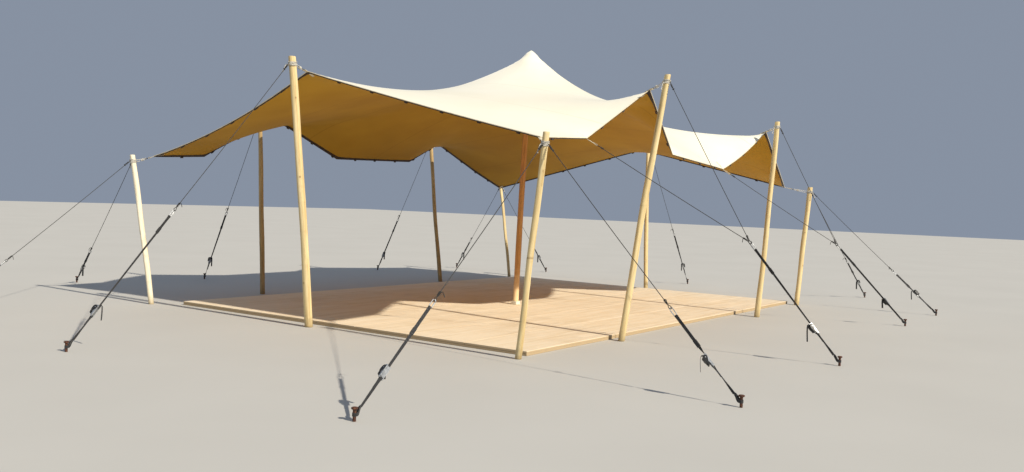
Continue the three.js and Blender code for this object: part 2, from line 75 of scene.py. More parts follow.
def roundAt(a, radius=1.0, x=0.0, y=0.0):
    # Points round a centre: (x + radius * cos a, y + radius * sin a)
    return np.stack([x + radius * np.cos(a), y + radius * np.sin(a)], -1)


def withZero(points, axis):
    # Pairs of coordinates made into points, with 0 along the axis that they lack
    return np.insert(np.asarray(points, float), axis, 0, axis=-1)


def lengthsAlong(path):
    # Running length of a path, from 0 at its first point
    return np.concatenate([[0], np.cumsum(lengthOf(np.diff(path, axis=0)))])


def lengthsRound(path):
    # The same for a closed path, back to its first point
    return lengthsAlong(np.concatenate([path, path[:1]]))


# Shapes

def gridPart(points, u, v, around=False, along=False, caps=False, slot=0):
    # Quads between the neighbours of a grid: rows follow the path, columns go round it.
    # around and along close the grid on itself, caps are fans from the end rings to their middles.
    rows, columns = points.shape[:2]
    i, j = np.meshgrid(np.arange(rows if along else rows - 1),
                       np.arange(columns if around else columns - 1), indexing="ij")
    steps = [(i, j), (i, j + 1), (i + 1, j + 1), (i + 1, j)]
    corners = [np.stack([a % rows * columns + b % columns for a, b in steps], -1).ravel()]
    u, v = np.asarray(u, float), np.asarray(v, float)
    uv = [np.stack([np.stack([u[a], v[b]], -1) for a, b in steps], -2).reshape(-1, 2)]
    flat, sizes = points.reshape(-1, 3), [np.full(i.size, 4)]
    if caps:
        ring, last = np.arange(columns), (rows - 1) * columns
        ahead, middle = (ring + 1) % columns, np.full(columns, len(flat))
        corners += [np.stack([ahead, ring, middle], -1).ravel(),
                    np.stack([ring + last, ahead + last, middle + 1], -1).ravel()]
        flat = np.concatenate([flat, [points[0].mean(0), points[-1].mean(0)]])
        sizes.append(np.full(2 * columns, 3))
        uv.append(np.zeros((6 * columns, 2)))
    sizes = np.concatenate(sizes)
    return {"points": flat, "corners": np.concatenate(corners), "sizes": sizes,
            "uv": np.concatenate(uv), "slots": np.full(len(sizes), slot)}


def joinParts(parts):
    # One part from several: the points and corners of each follow those of the one before
    starts = np.cumsum([0] + [len(part["points"]) for part in parts[:-1]])
    whole = {key: np.concatenate([part[key] for part in parts]) for key in parts[0] if key != "corners"}
    whole["corners"] = np.concatenate([part["corners"] + start for part, start in zip(parts, starts)])
    return whole


def inSlot(parts, slot):
    # The same parts with their materials counted from slot
    return [{**part, "slots": part["slots"] + slot} for part in parts]


def placed(part, origin, basis=stillBasis):
    # The part's own axes laid along the rows of basis: point = origin + x * row0 + y * row1 + z * row2
    return {**part, "points": np.asarray(origin) + part["points"] @ np.asarray(basis)}


def ringProfile(radius, sides=8, flat=1.0):
    # A circle, or an ellipse where flat isn't 1: (r cos a, flat * r sin a)
    return roundAt(angles(sides), radius) * [1, flat]


def sweepPart(path, profile, side=None, scale=1.0, closed=False, flatUv=False, slot=0):
    # A profile (a, b) carried along a path: point = path + scale * (a * side + b * top), where side
    # is square to the path, and top is square to both. Without a side, it is square to the plane
    # that the path lies in. A flat band's v runs across its width, a tube's v round its girth.
    path = np.asarray(path, float)
    tangent = unit(np.roll(path, -1, 0) - np.roll(path, 1, 0) if closed else np.gradient(path, axis=0))
    side = np.linalg.svd(path - path.mean(0), full_matrices=True)[2][-1] if side is None else side
    side = np.broadcast_to(side, path.shape)
    side = unit(side - tangent * (tangent * side).sum(-1, keepdims=True))
    top = np.cross(tangent, side)
    size = np.broadcast_to(scale, len(path))[:, None, None]
    points = path[:, None] + size * (profile[None, :, :1] * side[:, None]
                                     + profile[None, :, 1:] * top[:, None])
    u = lengthsRound(path) if closed else lengthsAlong(path)
    v = np.concatenate([profile, profile[:1]])[:, 0] if flatUv else lengthsRound(profile)
    return gridPart(points, u, v, around=True, along=closed, caps=not closed, slot=slot)


def ropePart(path, radius, side=None, closed=False, sides=8, slot=0):
    # A round rope along a path
    return sweepPart(path, ringProfile(radius, sides), side, closed=closed, slot=slot)


def bandPart(path, width, thickness, side):
    # A flat webbing along a path, its width along side: a rectangle with its corners cut off by
    # 0.6 of half the thickness
    w, h = width / 2, thickness / 2
    c = 0.6 * h
    profile = np.array([(-w + c, -h), (w - c, -h), (w, -h + c), (w, h - c),
                        (w - c, h), (-w + c, h), (-w, h - c), (-w, -h + c)])
    return sweepPart(path, profile, side, flatUv=True)


def curveThrough(points, count):
    # A smooth line through the points: a cubic between each pair, whose slope at a point is
    # half the step from the point before it to the one after. (x, z) points lie in the plane y = 0.
    points = withZero(points, 1) if len(points[0]) == 2 else np.array(points)
    line = np.concatenate([2 * points[:1] - points[1:2], points, 2 * points[-1:] - points[-2:-1]])
    t = np.linspace(0, len(points) - 1 - 1e-9, count)
    k = t.astype(int)
    f = (t - k)[:, None]
    a, b, c, d = (line[k + n] for n in range(4))
    return 0.5 * (2 * b + (c - a) * f + (2 * a - 5 * b + 4 * c - d) * f ** 2
                  + (3 * b - a - 3 * c + d) * f ** 3)


def platePart(outline, thickness, bevel, slot=0):
    # A flat plate: its outline at four levels, the outer two drawn in by the bevel along the
    # outline's own normals, closed by one face at each end
    outline = np.asarray(outline, float)
    step = np.roll(outline, -1, 0) - np.roll(outline, 1, 0)
    drawnIn = outline - bevel * unit(np.stack([step[:, 1], -step[:, 0]], -1))
    levels = [(drawnIn, -thickness / 2), (outline, bevel - thickness / 2),
              (outline, thickness / 2 - bevel), (drawnIn, thickness / 2)]
    points = np.stack([np.column_stack([flat, np.full(len(flat), z)]) for flat, z in levels])
    part = gridPart(points, np.arange(4) * bevel, lengthsRound(outline), around=True, slot=slot)
    count = len(outline)
    ends = {"corners": [np.arange(count)[::-1], np.arange(count) + 3 * count],
            "sizes": [[count, count]], "uv": [outline[::-1], outline], "slots": [[slot, slot]]}
    return {**part, **{key: np.concatenate([part[key], *more]) for key, more in ends.items()}}


def makePiece(name, parts, materials, nodes=()):
    # Puts the joined parts into one mesh at the origin, and hides the model's parts that the piece
    # stands in for
    whole = joinParts(parts)
    points, corners, sizes = (whole[key] for key in ("points", "corners", "sizes"))
    mesh = bpy.data.meshes.new(name)
    mesh.vertices.add(len(points))
    mesh.loops.add(len(corners))
    mesh.polygons.add(len(sizes))
    for items, field, values, kind in (
            (mesh.vertices, "co", points, np.float32), (mesh.loops, "vertex_index", corners, np.int32),
            (mesh.polygons, "loop_start", np.cumsum(sizes) - sizes, np.int32),
            (mesh.polygons, "material_index", whole["slots"], np.int32),
            (mesh.polygons, "use_smooth", sizes, bool)):
        items.foreach_set(field, values.astype(kind).ravel())
    mesh.update(calc_edges=True)
    mesh.uv_layers.new(name="UVMap").data.foreach_set("uv", whole["uv"].astype(np.float32).ravel())
    for key, kind, field in (("grain", "FLOAT_VECTOR", "vector"), ("knot", "FLOAT", "value")):
        if key in whole:
            data = mesh.attributes.new(name=key, type=kind, domain="POINT").data
            data.foreach_set(field, whole[key].astype(np.float32).ravel())
    mesh.set_sharp_from_angle(angle=0.65)
    for material in materials:
        mesh.materials.append(material)
    piece = bpy.data.objects.new(name, mesh)
    bpy.context.scene.collection.objects.link(piece)
    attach(piece, "root")
    if nodes:
        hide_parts(*nodes)
    return piece


# Materials

def addNode(tree, kind, inputs=(), stops=(), out=0, **settings):
    # Adds one node, or fills the shader, and gives back its output out, or several. An input is
    # another node's output, a hex colour or a plain value, by its name or in the node's own order.
    node = tree.nodes[kind] if kind == "Principled BSDF" else tree.nodes.new("ShaderNode" + kind)
    for key, value in settings.items():
        setattr(node, key, value)
    for socket, value in inputs.items() if isinstance(inputs, dict) else enumerate(inputs):
        if isinstance(value, bpy.types.NodeSocket):
            tree.links.new(value, node.inputs[socket])
        else:
            node.inputs[socket].default_value = toLinear(value) if isinstance(value, str) else value
    for k, (place, colour) in enumerate(stops):
        elements = node.color_ramp.elements
        stop = elements[k] if k < len(elements) else elements.new(place)
        stop.position, stop.color = place, toLinear(colour)
    return [node.outputs[k] for k in out] if isinstance(out, tuple) else node.outputs[out]


def newMaterial(name, nodes, look):
    # A new material: nodes adds its nodes and gives back what goes into the shader, besides its
    # fixed values
    material = bpy.data.materials.new(name)
    material.use_nodes = True
    add = partial(addNode, material.node_tree)
    add("Principled BSDF", {"IOR": 1.5, **nodes(add, look), **look.get("shader", {})})
    return material


def tinted(add, colour, mask, low, high, share, tint):
    # The tint laid over a colour, from nothing where the mask is low to share where it is high
    amount = add("MapRange", [mask, low, high, 0.0, share])
    return add("Mix", {0: amount, 6: colour, 7: tint}, **colourMix)


colourMix = {"out": 2, "data_type": "RGBA"}
# The bands and rings of a wave texture lie 314 mm / scale apart
cloth = {"seamPlace": -0.07, "seamEvery": 1.5, "seamWidth": 0.014, "seamEdge": 0.003, "ribScale": 8.0}
weave = {"ribScale": 12.5, "twillScale": 17.857143, "stitchLength": 0.009, "stitchWidth": 0.0022}


def fabricNodes(add, look):
    # Coated knitted polyester: a soft, even cloth with a faint sheen, welded in strips. The knit's
    # 1 mm ribs don't show, and the ones drawn are 39 mm wide: a faint softness in the light.
    place, uv = add("TexCoord", out=("Object", "UV"))
    clouds = add("TexNoise", {"Vector": place, "Scale": 0.9, "Detail": 5.0, "Roughness": 0.55})
    tone = add("ValToRGB", [clouds], zip((0.32, 0.68), look["tones"]))
    x = add("SeparateXYZ", [place], out="X")
    shifted = add("Math", [x, cloth["seamPlace"]], operation="SUBTRACT")
    toSeam = add("Math", [shifted, cloth["seamEvery"] / 2], operation="PINGPONG")
    half = cloth["seamWidth"] / 2
    seam = add("MapRange", [toSeam, half, half + cloth["seamEdge"], 1.0, 0.0])
    seamShare = add("Math", [seam, 0.5], operation="MULTIPLY")
    seamed = add("Mix", {0: seamShare, 6: tone, 7: look["seam"]}, **colourMix)
    specks = add("TexNoise", {"Vector": place, "Scale": 26.0, "Detail": 3.0, "Roughness": 0.7})
    colour = tinted(add, seamed, specks, 0.62, 0.8, 0.28, look["dirt"])
    ribs = [add("TexWave", {"Vector": uv, "Scale": cloth["ribScale"], "Distortion": 0.4,
                            "Detail": 1.0}, out="Fac", bands_direction=way) for way in "XY"]
    knit = add("Math", ribs, operation="MULTIPLY")
    relief = add("Math", [seam, knit], operation="ADD")
    bump = add("Bump", {"Height": relief, "Strength": 0.35, "Distance": 0.0008})
    gloss = add("MapRange", [clouds, 0.0, 1.0, *look["roughness"]])
    return {"Base Color": colour, "Normal": bump, "Roughness": gloss}


def webbingNodes(add, look):
    # Woven polyester webbing: dull, with dust in patches and two rows of stitches. The 1.2 mm ribs
    # don't show, and the ones drawn, across it and slanting, are 25 mm apart.
    place, uv = add("TexCoord", out=("Object", "UV"))
    x, y = add("SeparateXYZ", [uv], out=("X", "Y"))
    ribs = add("TexWave", {"Vector": uv, "Scale": weave["ribScale"], "Distortion": 0.8,
                           "Detail": 1.0}, out="Fac", bands_direction="X")
    twill = add("TexWave", {"Vector": uv, "Scale": weave["twillScale"], "Distortion": 0.3},
                out="Fac", bands_direction="DIAGONAL")
    woven = add("Math", [ribs, twill], operation="MULTIPLY")
    dust = add("TexNoise", {"Vector": place, "Scale": 11.0, "Detail": 6.0, "Roughness": 0.65})
    tone = add("ValToRGB", [dust], zip((0.35, 0.6, 0.8), look["tones"]))
    across = add("Math", [y], operation="ABSOLUTE")
    toRow = add("Math", [across, look["stitchRow"]], operation="SUBTRACT")
    nearRow = add("Math", [toRow], operation="ABSOLUTE")
    row = add("Math", [nearRow, weave["stitchWidth"] / 2], operation="LESS_THAN")
    along = add("Math", [x, weave["stitchLength"]], operation="PINGPONG")
    dash = add("Math", [along, weave["stitchLength"] * 0.3], operation="GREATER_THAN")
    stitch = add("Math", [row, dash], operation="MULTIPLY")
    colour = add("Mix", {0: stitch, 6: tone, 7: look["stitch"]}, **colourMix)
    relief = add("Math", [woven, stitch], operation="ADD")
    bump = add("Bump", {"Height": relief, "Strength": 0.6, "Distance": 0.0008})
    gloss = add("MapRange", [woven, 0.0, 1.0, 0.85, 0.6])
    return {"Base Color": colour, "Normal": bump, "Roughness": gloss}


def woodNodes(add, look):
    # Peeled round timber: fibres and streaks along the pole, dark knots with a paler rim, fine
    # drying cracks, and soil on its foot, which on the centre pole is instead its own pale colour
    # where the sun reaches it. Fibres of about 1 mm are drawn 4 mm wide.
    place = add("TexCoord", out="Object")
    grain = add("Attribute", out="Vector", attribute_name="grain")
    knot = add("Attribute", out="Fac", attribute_name="knot")
    streakPlace = add("Mapping", {"Vector": grain, "Scale": (38, 38, 1.6)})
    streaks = add("TexNoise", {"Vector": streakPlace, "Scale": 1.0, "Detail": 6.0, "Roughness": 0.62,
                               "Distortion": 0.35})
    tone = add("ValToRGB", [streaks], zip((0.28, 0.5, 0.72), look["tones"]))
    fibrePlace = add("Mapping", {"Vector": grain, "Scale": (240, 240, 9)})
    fibres = add("TexNoise", {"Vector": fibrePlace, "Scale": 1.0, "Detail": 4.0, "Roughness": 0.6})
    fibred = tinted(add, tone, fibres, 0.5, 0.8, 0.55, look["fibre"])
    crackPlace = add("Mapping", {"Vector": grain, "Scale": (85, 85, 2.6)})
    crackNoise = add("TexNoise", {"Vector": crackPlace, "Scale": 1.0, "Detail": 2.0, "Distortion": 0.6})
    crack = add("MapRange", [crackNoise, 0.27, 0.31, 1.0, 0.0])
    crackShare = add("Math", [crack, 0.75], operation="MULTIPLY")
    cracked = add("Mix", {0: crackShare, 6: fibred, 7: look["crack"]}, **colourMix)
    knotShare = add("ValToRGB", [knot], [(0.0, "#000000"), (0.3, "#5a5a5a"), (0.85, "#f0f0f0")])
    knotted = add("Mix", {0: knotShare, 6: cracked, 7: look["knot"]}, **colourMix)
    # On the centre pole this foot tint is painted light: pale where the sun reaches, orange-brown above
    height = add("SeparateXYZ", [place], out="Z")
    soilAndLitFootEdge = add("TexNoise", {"Vector": place, "Scale": 18.0, "Detail": 6.0, "Roughness": 0.7})
    soilAndLitFootTop = add("MapRange", [soilAndLitFootEdge, 0.3, 0.7, *look["soilHeight"]])
    soil = add("MapRange", [height, 0.0, soilAndLitFootTop, look["soilShare"], 0.0])
    colour = add("Mix", {0: soil, 6: knotted, 7: look["soil"]}, **colourMix)
    depth = add("Math", [fibres, crack], operation="SUBTRACT")
    bump = add("Bump", {"Height": depth, "Strength": 0.55, "Distance": 0.0015})
    gloss = add("MapRange", [streaks, 0.0, 1.0, *look["roughness"]])
    return {"Base Color": colour, "Normal": bump, "Roughness": gloss}


def endGrainNodes(add, look):
    # Sawn end of a round pole: broad growth rings, 38 mm apart, and dark stains
    grain = add("Attribute", out="Vector", attribute_name="grain")
    flat = add("Mapping", {"Vector": grain, "Scale": (1, 1, 0)})
    rings = add("TexWave", {"Vector": flat, "Scale": look["ringScale"], "Distortion": 1.2,
                            "Detail": 3.0}, out="Fac", wave_type="RINGS", rings_direction="Z")
    tone = add("ValToRGB", [rings], zip((0.2, 0.85, 1.0), look["tones"][::-1]))
    stain = add("TexNoise", {"Vector": grain, "Scale": 45.0, "Detail": 4.0})
    colour = tinted(add, tone, stain, 0.5, 0.8, 0.6, look["crack"])
    bump = add("Bump", {"Height": rings, "Strength": 0.4, "Distance": 0.001})
    return {"Base Color": colour, "Normal": bump}


def ropeNodes(add, look):
    # Braided polyester rope: two sets of strands that cross at 45 degrees, dull and slightly
    # soiled. Strands of 1.5 mm are drawn 4 mm wide.
    place, uv = add("TexCoord", out=("Object", "UV"))
    x, y = add("SeparateXYZ", [uv], out=("X", "Y"))
    slants = [add("Math", [x, y], operation=way) for way in ("ADD", "SUBTRACT")]
    turned = [add("Math", [slant, 2 * np.pi / look["strand"]], operation="MULTIPLY") for slant in slants]
    braid = add("Math", [add("Math", [turn], operation="SINE") for turn in turned], operation="MULTIPLY")
    soil = add("TexNoise", {"Vector": place, "Scale": 30.0, "Detail": 5.0, "Roughness": 0.65})
    mixed = add("Math", [braid, soil], operation="ADD")
    level = add("MapRange", [mixed, -0.6, 1.5])
    tone = add("ValToRGB", [level], zip((0.1, 0.45, 0.85), look["tones"]))
    bump = add("Bump", {"Height": braid, "Strength": 0.7, "Distance": 0.0009})
    return {"Base Color": tone, "Normal": bump, "Roughness": 0.85, "Sheen Weight": 0.1}


def metalNodes(add, look):
    # Worn metal or moulded plastic: plating or paint, scuffed to a second colour in patches,
    # with fine scratches in its gloss
    place = add("TexCoord", out="Object")
    patches = add("TexNoise", {"Vector": place, "Scale": look["patchesPerMetre"], "Detail": 8.0,
                               "Roughness": 0.72})
    tone = add("ValToRGB", [patches], zip((0.36, 0.5, 0.66), look["tones"]))
    streaked = add("Mapping", {"Vector": place, "Rotation": (0.4, 0.9, 0.2), "Scale": (900, 60, 900)})
    scratches = add("TexNoise", {"Vector": streaked, "Scale": 1.0, "Detail": 2.0})
    gloss = add("MapRange", [scratches, 0.3, 0.75, *look["roughness"]])
    pits = add("TexNoise", {"Vector": place, "Scale": look["pitsPerMetre"], "Detail": 6.0,
                            "Roughness": 0.7})
    bump = add("Bump", {"Height": pits, "Strength": look["pitting"], "Distance": 0.001})
    return {"Base Color": tone, "Normal": bump, "Roughness": gloss}


def boardsNodes(add, look):
    # Planed softwood boards, dried by the sun: long flame grain along the boards, each board a
    # little lighter or darker than its neighbour, with grey wear and soil in patches
    place = add("TexCoord", out="Object")
    board = add("Attribute", out="Fac", attribute_name="knot")
    offset = add("Math", [board, 37.0], operation="MULTIPLY")
    shift = add("CombineXYZ", {"X": offset, "Z": offset})
    moved = add("VectorMath", [place, shift], operation="ADD")
    grainPlace = add("Mapping", {"Vector": moved, "Scale": (0.9, 15, 15)})
    grain = add("TexNoise", {"Vector": grainPlace, "Scale": 1.0, "Detail": 7.0, "Roughness": 0.6,
                             "Distortion": 0.5})
    finePlace = add("Mapping", {"Vector": moved, "Scale": (6, 210, 210)})
    fine = add("TexNoise", {"Vector": finePlace, "Scale": 1.0, "Detail": 4.0, "Roughness": 0.6})
    tone = add("ValToRGB", [grain], zip((0.3, 0.5, 0.7), look["tones"]))
    fined = tinted(add, tone, fine, 0.52, 0.8, 0.5, look["fibre"])
    boardTone = add("ValToRGB", [board], [(0.0, look["boardDark"]), (1.0, "#ffffff")])
    varied = add("Mix", {0: 1.0, 6: fined, 7: boardTone}, **colourMix, blend_type="MULTIPLY")
    worn = add("TexNoise", {"Vector": place, "Scale": 1.7, "Detail": 8.0, "Roughness": 0.62})
    soiled = tinted(add, varied, worn, 0.5, 0.78, 0.5, look["soil"])
    # Below the boards' top face, on their sides and on the base in the seams, the colour goes darker
    height = add("SeparateXYZ", [place], out="Z")
    low = look["soilBelow"]
    colour = tinted(add, soiled, height, low, low - 0.006, 0.85, look["edge"])
    relief = add("Math", [grain, fine], operation="ADD")
    bump = add("Bump", {"Height": relief, "Strength": 0.3, "Distance": 0.0010})
    gloss = add("MapRange", [worn, 0.0, 1.0, 0.62, 0.9])
    return {"Base Color": colour, "Normal": bump, "Roughness": gloss}


# The looks: tones go from dark to light, for the fabric and the webbing from shade to light and dust

fabricTop = newMaterial("coated stretch polyester, cream face", fabricNodes, {
    "tones": ("#f6efd5", "#faf5e0"), "seam": "#ddd2b4", "dirt": "#e4d9ba", "roughness": (0.62, 0.78),
    "shader": {"Sheen Weight": 0.5, "Sheen Roughness": 0.5},
})
# The back is the same cream cloth as the face: its tan tones, seams and specks are painted light, the
# warm glow of sunlight through the cloth
fabricBackPaintedGlow = newMaterial("coated stretch polyester, sand back", fabricNodes, {
    "tones": ("#af8329", "#c09434"), "seam": "#9c7226", "dirt": "#966d25", "roughness": (0.7, 0.85),
    "shader": {"Specular IOR Level": 0.2},
})
hemWeave = newMaterial("woven polypropylene, brown hem", webbingNodes, {
    "tones": ("#281c14", "#3a2b20", "#5a4836"), "stitch": "#6b5844", "stitchRow": 0.012,
    "shader": {"Sheen Weight": 0.1},
})
creamWeave = newMaterial("woven polyester, cream webbing", webbingNodes, {
    "tones": ("#c9bd9f", "#ddd3bb", "#a4977b"), "stitch": "#8e8064", "stitchRow": 0.016,
    "shader": {"IOR": 1.55, "Sheen Weight": 0.1},
})
blackWeave = newMaterial("woven polyester, black webbing", webbingNodes, {
    "tones": ("#121316", "#202124", "#4b4a46"), "stitch": "#3a3b3e", "stitchRow": 0.0125,
    "shader": {"IOR": 1.55, "Sheen Weight": 0.15},
})
poleLook = {
    "tones": ("#bc9f6a", "#dcc692", "#ebd9ac"), "fibre": "#a88a56", "crack": "#7d6140",
    "knot": "#8a6a44", "soil": "#93805c", "soilHeight": (0.06, 0.22), "soilShare": 0.75,
    "ringScale": 8.3333333, "roughness": (0.62, 0.82),
}
# The far left pole is bleached nearly white; two of the far ones are painted darker, a painted shade for
# the canopy's shadow they stand in
bleachedLook = {**poleLook, "tones": ("#d6c8a3", "#ece2c8", "#f6eedb"), "fibre": "#c6b58c"}
shadedPoleLook = {**poleLook, "tones": ("#917648", "#b59a6a", "#c9b184"), "fibre": "#856a3f"}
# The centre pole is pale pine like the rest: its orange-brown tones are painted light, the warm glow
# under the canopy, and its soil tint is its own pale colour on the sunlit foot
centreWarmLitLook = {
    "tones": ("#a86b2e", "#c98e48", "#dda45c"), "fibre": "#9b5f2a", "crack": "#53300f",
    "knot": "#5e3617", "soil": "#f6dcae", "soilHeight": (0.45, 0.75), "soilShare": 1.0,
    "ringScale": 8.3333333, "roughness": (0.45, 0.65),
    "shader": {"Coat Weight": 0.15, "Coat Roughness": 0.35},
}
poleWoods = {}
for key, wood, end, look in (
        ("pine", "peeled pine pole, air dried", "sawn pine end grain", poleLook),
        ("bleached", "peeled pine pole, sun bleached", "sawn end grain, sun bleached", bleachedLook),
        ("shadePainted", "peeled pine pole, painted darker for shade", "sawn end grain, painted darker for shade", shadedPoleLook),
        ("centre", "pine pole, painted orange-brown for warm light", "pine end grain, painted orange-brown for warm light", centreWarmLitLook)):
    poleWoods[key] = [newMaterial(wood, woodNodes, look), newMaterial(end, endGrainNodes, look)]
whiteRope = newMaterial("braided polyester rope, white", ropeNodes, {
    "tones": ("#8b8679", "#c4c0b4", "#e6e3da"), "strand": 0.0042})
darkRope = newMaterial("braided polyester rope, dark grey", ropeNodes, {
    "tones": ("#1f1e1d", "#302f2d", "#434240"), "strand": 0.0038})
zincSteel = newMaterial("zinc plated steel, dulled", metalNodes, {
    "tones": ("#9a9da0", "#bcbfc1", "#d9dbdc"), "roughness": (0.42, 0.62), "patchesPerMetre": 40.0,
    "pitsPerMetre": 400.0, "pitting": 0.12, "shader": {"Metallic": 1.0},
})
darkSteel = newMaterial("blackened steel, worn", metalNodes, {
    "tones": ("#1b1c1d", "#2b2c2e", "#5a5b5d"), "roughness": (0.35, 0.6), "patchesPerMetre": 60.0,
    "pitsPerMetre": 400.0, "pitting": 0.15, "shader": {"Metallic": 0.9},
})
gripPlastic = newMaterial("moulded nylon grip, black", metalNodes, {
    "tones": ("#101112", "#17181a", "#2b2c2d"), "roughness": (0.42, 0.62), "patchesPerMetre": 50.0,
    "pitsPerMetre": 900.0, "pitting": 0.25, "shader": {"Metallic": 0.0, "IOR": 1.52},
})
rustySteel = newMaterial("forged steel, rusted", metalNodes, {
    "tones": ("#2c1c16", "#523225", "#7d5237"), "roughness": (0.7, 0.95), "patchesPerMetre": 70.0,
    "pitsPerMetre": 260.0, "pitting": 0.7, "shader": {"Metallic": 0.25},
})
deckWood = newMaterial("planed softwood boards, sun dried", boardsNodes, {
    "tones": ("#e6d0ac", "#f3e2c6", "#f7e8ce"), "fibre": "#dfc49c", "soil": "#d3bc98", "edge": "#a58d68",
    "boardDark": "#fdfcfa", "soilBelow": 0.049,
})
blockWood = newMaterial("painted plywood block, scuffed", boardsNodes, {
    "tones": ("#d6ccb8", "#e9e2d3", "#f2ede2"), "fibre": "#c6b9a0", "soil": "#c2b59c", "edge": "#b9aa8a",
    "boardDark": "#f2ece2", "soilBelow": 0.058, "shader": {"Coat Weight": 0.1},
})
print("materials made")

# Poles: foot, top, how far the middle bends aside along X and Y, and the radius at foot and top

poles = {name: dict(zip(("foot", "top", "bend", "radius"), values)) for name, *values in (
    ("left_mid", (-4.31, 0.15, 0), (-4.70, 0.15, 3.21), (0.006, -0.010), (0.049, 0.042)),
    ("near_left", (-4.31, -2.94, 0), (-4.56, -3.34, 2.30), (0.014, 0.012), (0.035, 0.031)),
    ("near_second", (-2.32, -3.06, 0), (-2.32, -3.52, 3.14), (-0.012, 0.008), (0.041, 0.035)),
    ("near_third", (1.61, -3.27, 0), (1.61, -3.45, 2.96), (0.010, -0.006), (0.040, 0.036)),
    ("near_right", (4.04, -3.08, 0), (4.15, -3.19, 2.06), (0.006, 0.004), (0.043, 0.040)),
    ("right_mid", (4.22, -0.07, 0), (4.37, 0.08, 2.88), (-0.008, 0.010), (0.040, 0.037)),
    ("far_right", (4.28, 3.22, 0), (4.35, 3.60, 2.01), (0.008, -0.008), (0.032, 0.030)),
    ("far_third", (2.07, 3.32, 0), (2.07, 3.69, 2.81), (-0.014, 0.006), (0.039, 0.034)),
    ("far_second", (-2.27, 3.41, 0), (-2.27, 3.59, 2.89), (0.008, 0.006), (0.039, 0.033)),
    ("far_left", (-4.39, 3.22, 0), (-4.60, 3.43, 2.063), (0.004, -0.006), (0.037, 0.034)),
    ("centre", (-0.45, -0.225, 0.1006), (-0.38, -0.29, 3.878), (-0.008, 0.006), (0.044, 0.040)),
)}
poles["near_left"].update(lashing=0.115, ring=1.057)  # tied lower, and with one dark branch ring
# far_second and far_third take the wood with the painted shade
woodOf = {"far_left": "bleached", "far_second": "shadePainted", "far_third": "shadePainted", "centre": "centre"}
poleShape = {
    "around": 48, "along": 150, "wander": 0.004, "knotHeight": 0.0030, "knotSize": 0.024,
    "knotsPerMetre": 2.4, "collarsPerMetre": 1.3, "collarHeight": 0.0011, "collarWidth": 0.012,
    "cutEdge": 0.005, "seed": 11,
    "ovals": [(0.0011, 2, 1.9), (0.0008, 3, -1.3), (0.0009, 0, 5.5)],  # size, lobes, turn per metre
}


def poleAxis(pole, z):
    # Axis at heights z: foot + (top - foot) * s + bend * sin(pi s), and a slow wander
    # sin(3 pi s + phase) * sin(pi s) that is nothing at both ends; s is the share of the height
    z = np.asarray(z, float)
    foot, top = np.array(pole["foot"]), np.array(pole["top"])
    s = ((z - foot[2]) / (top[2] - foot[2]))[..., None]
    phase = np.array([foot[0] * 3, foot[1] * 5])
    wander = poleShape["wander"] * np.sin(3 * np.pi * s + phase) * np.sin(np.pi * s)
    flat = foot[:2] + (top[:2] - foot[:2]) * s + np.array(pole["bend"]) * np.sin(np.pi * s) + wander
    return np.concatenate([flat, z[..., None]], -1)


def poleRadius(pole, z):
    # Radius at heights z: an even taper from the foot to the top
    s = (np.asarray(z) - pole["foot"][2]) / (pole["top"][2] - pole["foot"][2])
    return pole["radius"][0] + (pole["radius"][1] - pole["radius"][0]) * s


